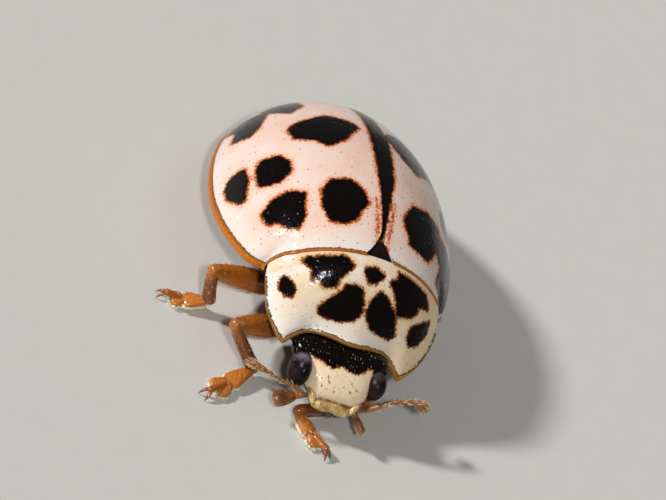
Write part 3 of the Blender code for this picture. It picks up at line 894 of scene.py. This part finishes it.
# %% Amber chitin
def amber_chitin(name, clear, tanned, glow_mm, mottling=0.7):
    """Glossy see-into chitin, clear to tanned by the piece's own tan numbers."""
    material, tree, place = new_material(name)
    # Streaks and mottling of about 0.1 mm
    mottle = noise(tree, place, 9, 3.0)
    depth = maths(tree, "MULTIPLY_ADD", mottle, mottling, -mottling / 2)
    depth = maths(tree, "ADD", stored(tree, "tan"), depth)
    depth.node.use_clamp = True
    # Scale-like relief 0.03 mm across
    scales = add_node(tree, "TexVoronoi", {"Scale": 30 * PER_MM, "feature": "SMOOTH_F1",
                                           "Smoothness": 0.4, "Vector": place}, "Distance")
    return finish_chitin(material, mix(tree, depth, linear(clear), linear(tanned)),
                         ramp(tree, mottle, 0.0, 1.0, 0.2, 0.36),
                         {"Subsurface Weight": 0.35, "Subsurface Radius": (1.0, 0.5, 0.2),
                          "Subsurface Scale": glow_mm * MM, "Coat Weight": 0.4,
                          "Coat Roughness": 0.1},
                         maths(tree, "MULTIPLY_ADD", mottle, 2.0, scales), 0.45, 0.004)


leg_chitin = amber_chitin("amber_leg_chitin", "#cc7826", "#5c2108", 0.05)
bristle_chitin = amber_chitin("golden_bristle_chitin", "#f3dcae", "#c98a3c", 0.02)
pad_chitin = amber_chitin("white_pad_bristle_chitin", "#f6ecd6", "#d9b67a", 0.02)

# %% [markdown]
# ## Bristles
#
# Stiff golden hairs stand on the legs and feelers, and the feet have white brushes
# underneath that grip. Particle hair would vanish from an exported mesh, so one bristle is
# grown as a bent, tapering rod of a few faces, and solid copies of it are planted on the
# skin, joined into one piece for each limb. A seeded generator picks the roots, so that
# each run plants them alike.

# %% Grow one bristle and plant copies
SEED = 7
random = np.random.default_rng(SEED)
bristle = grow("bristle", [(0, .07, .07), (.35, .06, .06, .04), (.7, .04, .04, .14),
                           (1, .012, .012, .3)], sides=4, levels=0)
BRISTLE_POINTS = corners_of(bristle)
BRISTLE_FACES = [list(face.vertices) for face in bristle.data.polygons]
bpy.data.objects.remove(bristle)


def roots_on(piece, count, wanted=lambda centre, normal: True):
    """Random places on a piece's skin where wanted(centre, normal) holds, with their normals."""
    faces = [face for face in piece.data.polygons if wanted(face.center, face.normal)]
    areas = np.array([face.area for face in faces])
    picks = random.choice(len(faces), count, p=areas / areas.sum())
    jitter = random.uniform(-0.3, 0.3, count)
    places = np.array([faces[i].center for i in picks])
    first = np.array([piece.data.vertices[faces[i].vertices[0]].co for i in picks])
    return places + (first - places) * jitter[:, None], np.array([faces[i].normal for i in picks])


def plant(name, roots, normals, lean, towards, lengths, thickness=1.0):
    """One mesh of bristles standing on their roots and leaning by a share towards a direction."""
    towards = np.broadcast_to(np.asarray(towards, float), normals.shape)
    axis = normals * (1 - lean) + towards * lean
    axis /= np.linalg.norm(axis, axis=1, keepdims=True)
    bend = towards - axis * (axis * towards).sum(1, keepdims=True)
    bend /= np.maximum(np.linalg.norm(bend, axis=1, keepdims=True), 1e-6)
    across = np.cross(bend, axis)
    spread = np.array(lengths)[:, None, None]
    x, y, z = BRISTLE_POINTS.T
    points = (across[:, None] * (x * thickness)[:, None] + bend[:, None] * (y * thickness)[:, None]
              + axis[:, None] * z[:, None]) * spread + roots[:, None]
    count = len(BRISTLE_POINTS)
    faces = [[i + k * count for i in face] for k in range(len(roots)) for face in BRISTLE_FACES]
    mesh = bpy.data.meshes.new(name)
    mesh.from_pydata(points.reshape(-1, 3), [], faces)
    mesh.shade_smooth()
    piece = add_object(name, mesh)
    store(piece, "tan", np.tile(np.clip(1 - z * 1.4, 0, 1), len(roots)))
    return piece


print(len(BRISTLE_FACES), "faces to a bristle")

# %% Plant bristles on the brow and the face
HEAD_BRISTLES = 90
FACE_LINE = HEAD_AXES.to_3x3().col[2]
roots, normals = roots_on(head, HEAD_BRISTLES, lambda c, n: n.z > .3 and n.y < .35
                          and (c / MM - HEAD_BACK).dot(FACE_LINE) < .24)
hairs = plant("head_bristles", roots / MM, normals, .45, FACE_LINE,
              random.uniform(.022, .045, HEAD_BRISTLES))
to_life_size(hairs, "head", bristle_chitin)

# %% [markdown]
# ## The legs
#
# A leg is a stout thigh or femur, a slim shin or tibia, and a foot or tarsus of three parts
# that show: a lobed first joint, a broad two-lobed second joint, both with brushes under
# them, and a slender claw joint that rises from between the lobes and carries two toothed
# claws. The CAD solids are thicker than life so that they can collide, but their joints are
# true, so the knees, ankles and toes are read from them.

# %% Find the joints
def solid_points(node):
    """A CAD node's points in mm."""
    return np.array([v.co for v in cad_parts[node].data.vertices]) / MM


def meeting(node_a, node_b):
    """The middle of the joint between two solids."""
    a, b = solid_points(node_a), solid_points(node_b)
    gaps = np.linalg.norm(a[:, None] - b[None], axis=2)
    near = gaps < 0.05
    return Vector((a[near.any(1)].mean(0) + b[near.any(0)].mean(0)) / 2)


def far_end(node, start, pull):
    """The point of a solid farthest from a joint, pulled back towards it by the round end."""
    points = solid_points(node)
    gaps = np.linalg.norm(points - np.array(start), axis=1)
    tip = Vector(points[gaps > gaps.max() - 0.02].mean(0))
    return tip + (Vector(start) - tip).normalized() * pull


LEG_NAMES = [f"{place}_{side}" for place in ("front", "middle", "hind")
             for side in ("right", "left")]
joints = {}
for leg in LEG_NAMES:
    knee = meeting(f"femur_{leg}", f"tibia_{leg}")
    ankle = meeting(f"tibia_{leg}", f"tarsus_{leg}")
    hip = far_end(f"femur_{leg}", knee, 0.15)
    toe = far_end(f"tarsus_{leg}", ankle, 0.02)
    joints[leg] = hip, knee, ankle, toe
    print(leg, [tuple(round(v, 2) for v in point) for point in joints[leg]])

# %% Grow a limb
THIGH = [(-.06, .05, .05), (0, .11, .10), (.12, .145, .13), (.35, .165, .14), (.6, .16, .13),
         (.82, .125, .105), (.95, .098, .09), (1.02, .085, .08), (1.06, .05, .05)]
SHIN = [(-.05, .04, .045), (0, .066, .07), (.08, .082, .08, .01), (.35, .086, .082, .02),
        (.65, .09, .084, .015), (.9, .098, .09), (.98, .085, .075), (1.03, .04, .04)]


def limb(name, stations, start, end, side_hint, tan, sides=14):
    """Grow a limb whose station heights are shares of its length, and lay it in place."""
    start, end = Vector(start), Vector(end)
    length = (end - start).length
    piece = grow(name, [(share * length, *size) for share, *size in stations], sides)
    store(piece, "tan", np.interp(corners_of(piece)[:, 2] / length, *zip(*tan)))
    return lay(piece, along_axes(start, end, side_hint))


print(len(THIGH), "rings to a thigh,", len(SHIN), "to a shin")

# %% Shape a foot
DOWN = Vector((0, 0, -1))
FOOT_LENGTH = 0.95              # the foot's measures below suit a foot this long
# Rings of the foot's joints: share of the length, half width and half thickness
FOOT_SOLE = [(0, .055, .05), (.2, .075, .062), (.55, .105, .066), (.8, .125, .06),
             (.96, .115, .045), (1.04, .06, .022)]
FOOT_LOBE = [(0, .045, .04), (.3, .068, .046), (.65, .082, .046), (.92, .072, .034),
             (1.08, .03, .016)]
CLAW_JOINT = [(0, .034, .032), (.1, .038, .034), (.6, .042, .04), (.92, .055, .05),
              (1.04, .026, .024)]
# The claws' rings, in mm: height, half width, half thickness and how far they curve
CLAW = [(0, .026, .026), (.035, .026, .024), (.075, .018, .018, .012), (.11, .010, .010, .034),
        (.135, .003, .003, .066)]
CLAW_TOOTH = [(0, .016, .012), (.03, .012, .01), (.05, .003, .003)]
CLAW_SPREAD = .35               # how far the claws point aside and down
FOOT_TAN = [(0, .35), (.5, .12), (1, .05)]
SOLE_SWELL, SOLE_DROP = .016, .034      # mm that the pale pads stand out and hang down


def build_foot(ankle, toe):
    """Two lobed joints, the claw joint and its two claws."""
    flat = Vector((toe.x - ankle.x, toe.y - ankle.y, 0))
    scale = flat.length / FOOT_LENGTH
    ahead = flat.normalized()
    side = ahead.cross(DOWN)

    def at(along, aside, height):
        """A place on the foot: along and aside in foot measures, and its height in mm."""
        spot = Vector((ankle.x, ankle.y, 0)) + ahead * along * scale + side * aside * scale
        return spot + Vector((0, 0, height))

    pads = [limb("foot", FOOT_SOLE, (*ankle.xy, ankle.z - .02), at(.44, 0, .078), side, FOOT_TAN)]
    for way in (-1, 1):
        pads.append(limb("lobe", FOOT_LOBE, at(.40, .02 * way, .075), at(.66, .085 * way, .058),
                         side, FOOT_TAN))
    parts = [limb("claw_joint", CLAW_JOINT, at(.50, 0, .10), at(.84, 0, .12), side,
                  [(0, .3), (1, .55)], 10)]
    for way in (-1, 1):
        start = at(.82, .026 * way, .11)
        out = ahead * math.cos(CLAW_SPREAD) + side * way * math.sin(CLAW_SPREAD)
        out = (out + DOWN * CLAW_SPREAD).normalized()
        claw = grow("claw", CLAW, sides=8, levels=1)
        store(claw, "tan", np.interp(corners_of(claw)[:, 2], (0, .13), (.4, .95)))
        parts.append(lay(claw, along_axes(start, start + out, DOWN.cross(out))))
        tooth = grow("tooth", CLAW_TOOTH, sides=6, levels=1)
        store(tooth, "tan", np.full(len(tooth.data.vertices), .8))
        parts.append(lay(tooth, along_axes(start + out * .03, start + out * .03 + DOWN, side)))
    return pads, parts, ahead


def sole_of(pad):
    """The pale pad under a foot joint: its lower half, swollen outwards and let down."""
    sole = add_object("sole", pad.data.copy())
    points, normals = corners_of(sole), normals_of(sole)
    spread = np.column_stack((normals[:, :2], np.zeros(len(points)))) * SOLE_SWELL
    points = points * (1, 1, .55) + (0, 0, .45 * points.mean(axis=0)[2] - SOLE_DROP) + spread
    set_corners(sole, points)
    store(sole, "tan", np.full(len(points), .15))
    return sole


print(len(FOOT_SOLE), "rings to a sole")

# %% Build the legs
COXA = [(-.3, .06, .06), (0, .12, .12), (.5, .15, .14), (1, .12, .11), (1.2, .05, .05)]
SURFACE = .002                  # mm: bristles that reach the floor are bent up to this


def build_leg(leg):
    """Thigh with its hip, shin and foot, and the bristles and brushes on them."""
    hip, knee, ankle, toe = joints[leg]
    away = Vector((hip.x - MIDDLE_X, 0, 0)).normalized()
    hinge = (knee - hip).cross(ankle - knee)
    thigh = limb(f"thigh_{leg}", THIGH, hip, knee, hinge.cross(knee - hip),
                 [(0, .5), (.3, .15), (.75, .05), (1, .35)])
    shin = limb(f"shin_{leg}", SHIN, knee, ankle + (ankle - knee).normalized() * .03, hinge,
                [(0, .5), (.3, .75), (.8, .85), (1, .6)])
    coxa = limb("coxa", COXA, hip - away * .22 + Vector((0, 0, .12)), hip, (0, 1, 0),
                [(0, 1), (1, .8)])
    pads, parts, ahead = build_foot(ankle, toe)
    hairs = []
    for piece, start, end, count, length in ((thigh, hip, knee, 170, .055),
                                             (shin, knee, ankle, 60, .045)):
        hairs.append(plant("hairs", *roots_on(piece, count), .62, (end - start).normalized(),
                           length * random.uniform(.7, 1.15, count)))
    brushes = [sole_of(pad) for pad in pads]
    for pad in pads:
        roots, normals = roots_on(pad, 20, lambda c, n: n.z > .1)
        hairs.append(plant("hairs", roots, normals, .7, ahead, random.uniform(.04, .06, 20)))
        roots, normals = roots_on(pad, 150, lambda c, n: n.z < -.05 and c.z < .09)
        outward = normals * (1, 1, 0) + np.array(ahead) * .7 - (0, 0, .45)
        outward /= np.linalg.norm(outward, axis=1, keepdims=True)
        brushes.append(plant("hairs", roots, normals, .75, outward,
                             random.uniform(.045, .07, 150), 1.6))
    foot = joined(f"foot_{leg}", pads + parts)
    thigh = joined(f"thigh_{leg}", [thigh, coxa])
    for piece, node in ((thigh, "femur"), (shin, "tibia"), (foot, "tarsus")):
        to_life_size(piece, "leg", leg_chitin, f"{node}_{leg}")
    for name, tufts, finish in (("bristles", hairs, bristle_chitin),
                                ("foot_brush", brushes, pad_chitin)):
        tuft = joined(f"{name}_{leg}", tufts)
        points = corners_of(tuft)
        points[:, 2] = np.maximum(points[:, 2], SURFACE)
        set_corners(tuft, points)
        to_life_size(tuft, "leg", finish)


for leg in LEG_NAMES:
    build_leg(leg)

# %% [markdown]
# ## The feelers
#
# A feeler has eleven joints: a stout first one, slim ones like beads on a string, and a club
# of three that overlap. Each is grown narrow at its base and wide at its tip, then laid along
# the line that the CAD feeler follows. The club wears the most bristles, because it smells
# and feels for the beetle.

# %% Build the feelers
feeler_chitin = amber_chitin("amber_feeler_chitin", "#b36c2e", "#4a2212", 0.04)
# Length and half width at the tip of each joint, from the head outwards; the last three
# are the club
FEELER_JOINTS = [(.15, .046), (.075, .036), (.10, .028), (.06, .027), (.055, .029), (.05, .032),
                 (.05, .036), (.05, .043), (.065, .062), (.07, .072), (.065, .056)]
# The left feeler is held in an arch; the right one is slimmer
CLUB_START = 8
FEELER_GIRTH = {"right": .8, "left": 1.05}
FEELER_ARCH = {"right": (0, 0, 0), "left": (.06, .22, -.03)}     # mm up at root, bend and tip


def build_feeler(side):
    stalk, club = f"antenna_stalk_{side}", f"antenna_club_{side}"
    bend = meeting(stalk, club)
    path = [far_end(stalk, bend, .05), bend, far_end(club, bend, .03)]
    path = [place + Vector((0, 0, lift)) for place, lift in zip(path, FEELER_ARCH[side])]
    reach = sum(length for length, _ in FEELER_JOINTS)
    whole = sum((b - a).length for a, b in zip(path, path[1:]))
    turn = (path[1] - path[0]).length / whole

    def along(share):
        """A place on the feeler, on a curve through its root, bend and tip."""
        near = path[0].lerp(path[1], share / turn)
        return near.lerp(path[1].lerp(path[2], (share - turn) / (1 - turn)), share)

    parts, hairs = [], []
    done = 0
    for number, (length, wide) in enumerate(FEELER_JOINTS):
        in_club = number >= CLUB_START
        wide *= FEELER_GIRTH[side]
        start, end = along(done / reach), along((done + length) / reach)
        done += length
        slim = wide * (.5 if in_club else .62)
        shape = [(-.08, slim * .5, slim * .5), (0, slim, slim), (.35, wide * .86, wide * .8),
                 (.75, wide, wide * .92), (.96, wide * .8, wide * .74),
                 (1.02, wide * .4, wide * .4)]
        if number == len(FEELER_JOINTS) - 1:        # the last one ends in a dome
            shape[3:] = [(.7, wide * .95, wide * .8), (1.0, wide * .6, wide * .5),
                         (1.12, wide * .2, wide * .2)]
        parts.append(limb("joint", shape, start, end, (0, 0, 1),
                          [(0, .55), (.6, .2), (1, .45)], 10))
        count = 30 if in_club else 7
        hairs.append(plant("hairs", *roots_on(parts[-1], count), .5, (end - start).normalized(),
                           random.uniform(.045, .075, count)))
    to_life_size(joined(f"feeler_{side}", parts), "antenna", feeler_chitin, stalk, club)
    to_life_size(joined(f"feeler_bristles_{side}", hairs), "antenna", bristle_chitin)


for side in ("right", "left"):
    build_feeler(side)

# %% [markdown]
# ## The mouth and its palps
#
# Below the face hangs the upper lip, a clear golden plate with rolled corners. Under it lie
# the lower jaws and, to each side, a palp of four joints whose last one widens like a
# hatchet's blade: a ladybird tastes a trail with its broad edge. The plates are grown along the
# head's slant, and the palps as the feelers are.

# %% Build the mouth
lip_chitin = amber_chitin("golden_lip_chitin", "#e6c585", "#7a4c16", 0.05, 3.2)
jaw_chitin = amber_chitin("tanned_jaw_chitin", "#8a4314", "#2e0f04", 0.04)


def on_head(x, y, z):
    """A place on the beetle from head measures: across, above and along the face."""
    return HEAD_AXES @ Vector((x, y, z))


def head_limb(name, stations, start, end, side_hint, tan, sides):
    """A limb between two places on the head."""
    return limb(name, stations, on_head(*start), on_head(*end), side_hint, tan, sides)


lip = grow("lip", [(.54, .27, .10), (.585, .30, .098), (.61, .30, .078), (.625, .30, .078),
                   (.65, .30, .088), (.69, .28, .072), (.725, .235, .05), (.745, .15, .022)],
           sides=28, levels=2, boxy=0.85)
# A shallow notch in the middle of its free edge, and fine folds across it
points = corners_of(lip)
notch = np.exp(-(points[:, 0] / .06) ** 2) * np.clip((points[:, 2] - .66) / .08, 0, 1)
points[:, 2] -= .03 * notch
points[:, 1] *= 1 + .05 * np.sin(points[:, 0] * 62) * np.clip((points[:, 2] - .6) / .05, 0, 1)
set_corners(lip, points)
store(lip, "tan", np.clip(.42 - 2.2 * points[:, 1] + .9 * np.abs(points[:, 0])
                          + .5 * np.exp(-((points[:, 2] - .618) / .012) ** 2), 0, 1))
lay(lip, HEAD_AXES)
# The rolled corners of the lip, beside the roots of the feelers
FOLD = [(-.1, .03, .03), (.1, .05, .045), (.5, .06, .05), (.9, .045, .04), (1.1, .02, .02)]
folds = [head_limb("fold", FOLD, (.34 * way, .06, .50), (.25 * way, .03, .67), (0, 0, 1),
                   [(0, .4), (1, .1)], 12) for way in (-1, 1)]
to_life_size(joined("upper_lip", [lip, *folds]), "mouthparts", lip_chitin, "mouthparts")

JAW = [(-.1, .07, .05), (.1, .12, .08), (.5, .13, .09), (.85, .10, .07), (1.05, .04, .03)]
JAW_TOOTH = [(0, .04, .03), (.4, .035, .028), (.8, .018, .016), (1.1, .004, .004)]
LOWER_LIP = [(-.1, .08, .05), (.1, .15, .07), (.6, .15, .07), (1.0, .08, .04)]
jaws = []
for way in (-1, 1):
    jaws.append(head_limb("jaw", JAW, (.20 * way, -.13, .42), (.12 * way, -.09, .70), HEAD_ACROSS,
                          [(0, .7), (1, .3)], 14))
    jaws.append(head_limb("tooth", JAW_TOOTH, (.13 * way, -.035, .68), (.03 * way, -.05, .765),
                          HEAD_ACROSS, [(0, .8), (1, 1)], 10))
jaws.append(head_limb("lower_lip", LOWER_LIP, (0, -.17, .40), (0, -.13, .66), HEAD_ACROSS,
                      [(0, .8), (1, .4)], 14))
to_life_size(joined("lower_jaws", jaws), "mouthparts", jaw_chitin)

# %% Build the palps
# Start and end of each joint as shares of the palp, half width and half thickness at its tip
PALP_JOINTS = [(-.25, .05, .045, .045), (.05, .42, .05, .045), (.40, .56, .05, .042)]
BLADE = [(-.04, .05, .035), (.15, .07, .045), (.45, .10, .052), (.75, .115, .056),
         (.92, .10, .05), (1.0, .07, .035), (1.03, .04, .018)]
PALP_BLADE_ACROSS = {"right": (-.29, .73, .61), "left": (-.4, -.68, .6)}
PALP_BRISTLES = 46


def build_palp(side):
    root = on_head(.30 * (1 if side == "left" else -1), -.05, .56)
    tip = far_end(f"palp_{side}", root, .01)
    parts = []
    for start, end, wide, thick in PALP_JOINTS:
        shape = [(-.1, wide * .5, thick * .5), (.05, wide * .75, thick * .75),
                 (.8, wide, thick), (1.05, wide * .6, thick * .6)]
        parts.append(limb("joint", shape, root.lerp(tip, start), root.lerp(tip, end),
                          (0, 1, 0), [(0, .5), (1, .3)], 10))
    blade = limb("blade", BLADE, root.lerp(tip, .38), tip, PALP_BLADE_ACROSS[side],
                 [(0, .6), (.6, .75), (.8, .45), (1.0, .3)], 18)
    hairs = plant(f"palp_bristles_{side}", *roots_on(blade, PALP_BRISTLES), .55,
                  (tip - root).normalized(), random.uniform(.035, .055, PALP_BRISTLES))
    to_life_size(joined(f"taster_{side}", [*parts, blade]), "mouthparts", feeler_chitin,
                 f"palp_{side}")
    to_life_size(hairs, "mouthparts", bristle_chitin)


for side in ("right", "left"):
    build_palp(side)

# %% [markdown]
# ## The underside
#
# Under the shells the body is one dark brown boat: the breast with its leg sockets, then the
# belly's overlapping plates. Little of it shows from above, but a model is picked up and
# turned over. Copies of the CAD solids give the form; the belly's plates are cut in by
# bisecting it at each joint and drawing the new seams inwards.

# %% Shape the underside
underside_chitin = pitted_chitin("dark_pitted_chitin", "#150a06", "#38200f", 12, 0.34, 0.008)
belly_chitin = pitted_chitin("brown_belly_chitin", "#2a140a", "#4d2a14", 10, 0.38, 0.006)
BELLY_SEAMS = 5
SEAM_DEPTH, SEAM_WIDTH = 0.022, 0.05


def cut_seam(piece, y):
    """Cut three rings round a body, ready to be drawn into a seam."""
    edit_all(piece)
    for place in (y, y + SEAM_WIDTH / 2, y + SEAM_WIDTH):
        bpy.ops.mesh.select_all(action="SELECT")
        bpy.ops.mesh.bisect(plane_co=(0, place, 0), plane_no=(0, 1, 0), threshold=0.0001)
    end_edit()


for node, name, finish in (("thorax", "breast", underside_chitin),
                           ("abdomen", "belly", belly_chitin),
                           ("prosternum", "fore_breast", underside_chitin)):
    low, high = solid_box(node)
    piece = copy_of(node, name)
    seams = []
    if node == "abdomen":
        seams = [low.y + (high.y - low.y) * (k + 1) / (BELLY_SEAMS + 1.2)
                 for k in range(BELLY_SEAMS)]
    for y in seams:
        cut_seam(piece, y)
    round_edges(piece, .03, 45)
    points, normals = corners_of(piece), normals_of(piece)
    if node == "prosternum":        # reach back into the breast, so that no light shows through
        back = np.clip((points[:, 1] - high.y + .4) / .4, 0, 1)
        points[:, 0] -= .14 * back ** 2 * (points[:, 0] - MIDDLE_X)
        points[:, 2] += .05 * back ** 2 * (points[:, 2] < (low.z + high.z) / 2)
        points[:, 1] += .07 * np.clip((points[:, 1] - high.y + .15) / .15, 0, 1)
    if node == "abdomen":           # and the belly forward into it
        points[:, 1] -= .09 * np.clip((low.y + .15 - points[:, 1]) / .15, 0, 1)
    for y in seams:
        depth = np.clip(1 - np.abs(points[:, 1] - y - SEAM_WIDTH / 2) / (SEAM_WIDTH / 2), 0, 1)
        points -= normals * (SEAM_DEPTH * depth)[:, None]
    set_corners(piece, points)
    to_life_size(piece, "underside", finish, node)

# %% [markdown]
# ## Camera, floor and light
#
# A small subject is seen best from a little way off through a long lens, so that it doesn't
# swell towards the camera. The camera looks down on the beetle's right shoulder and is tilted,
# so it is placed by three directions; a tracking constraint would hold it level.
# The floor is plain and pale. A sun low on the beetle's right makes the highlights and the
# long shadow, a weaker one in front opens the face, and a dim white world fills the rest.

# %% Place the camera
VIEW_RIGHT = Vector((0.86418, -0.06923, 0.49839))
VIEW_UP = Vector((-0.29425, 0.73395, 0.61216))
VIEW_BACK = Vector((-0.40817, -0.67567, 0.61389))
AIM = Vector((0.0556, 0.2274, 0.7949))      # mm, inside the body
VIEW_WIDTH = 8.2416                         # mm across the frame at the beetle
CAMERA_DISTANCE = 120                       # mm
SENSOR_WIDTH = 36                           # mm
camera = add_object("camera", bpy.data.cameras.new("camera"))
pose = Matrix((VIEW_RIGHT, VIEW_UP, VIEW_BACK)).transposed().to_4x4()
pose.translation = (AIM + VIEW_BACK * CAMERA_DISTANCE) * MM
camera.matrix_world = pose
camera.data.sensor_width = SENSOR_WIDTH
camera.data.lens = SENSOR_WIDTH * CAMERA_DISTANCE / VIEW_WIDTH
camera.data.clip_start, camera.data.clip_end = 0.01, 10
bpy.context.scene.camera = camera
print("lens", round(camera.data.lens, 1), "mm, camera", round(pose.translation.z / MM, 1), "mm up")

# %% Lay the floor
bpy.ops.object.select_all(action="DESELECT")
bpy.ops.mesh.primitive_plane_add(size=2)
floor = bpy.context.object
floor.name = "floor"
paper, tree, place = new_material("matt_white_paper")
white = mix(tree, noise(tree, place, 3, 3.0), linear("#d6d4cf"), linear("#dbd9d4"))
surface = add_node(tree, "BsdfPrincipled", {"Roughness": 0.7, "Base Color": white})
add_node(tree, "OutputMaterial", {"Surface": surface})
floor.data.materials.append(paper)

# %% Set the lights
def soft_sun(name, direction, strength, angle):
    """Even light from a direction; its angle in degrees sets how soft the shadows are."""
    light = bpy.data.lights.new(name, "SUN")
    light.energy, light.angle = strength, math.radians(angle)
    sun = add_object(name, light)
    sun.rotation_mode = "QUATERNION"
    sun.rotation_quaternion = Vector(direction).to_track_quat("Z", "Y")


soft_sun("key_light", (-.85, .08, .54), 2.6, 6)
soft_sun("front_light", (-.30, -.66, .68), 1.1, 4)
world = bpy.data.worlds.new("world")
bpy.context.scene.world = world
world.use_nodes = True
background = world.node_tree.nodes["Background"].inputs
background["Color"].default_value = linear("#ffffff")
background["Strength"].default_value = 0.14
bpy.context.scene.view_settings.view_transform = "Standard"
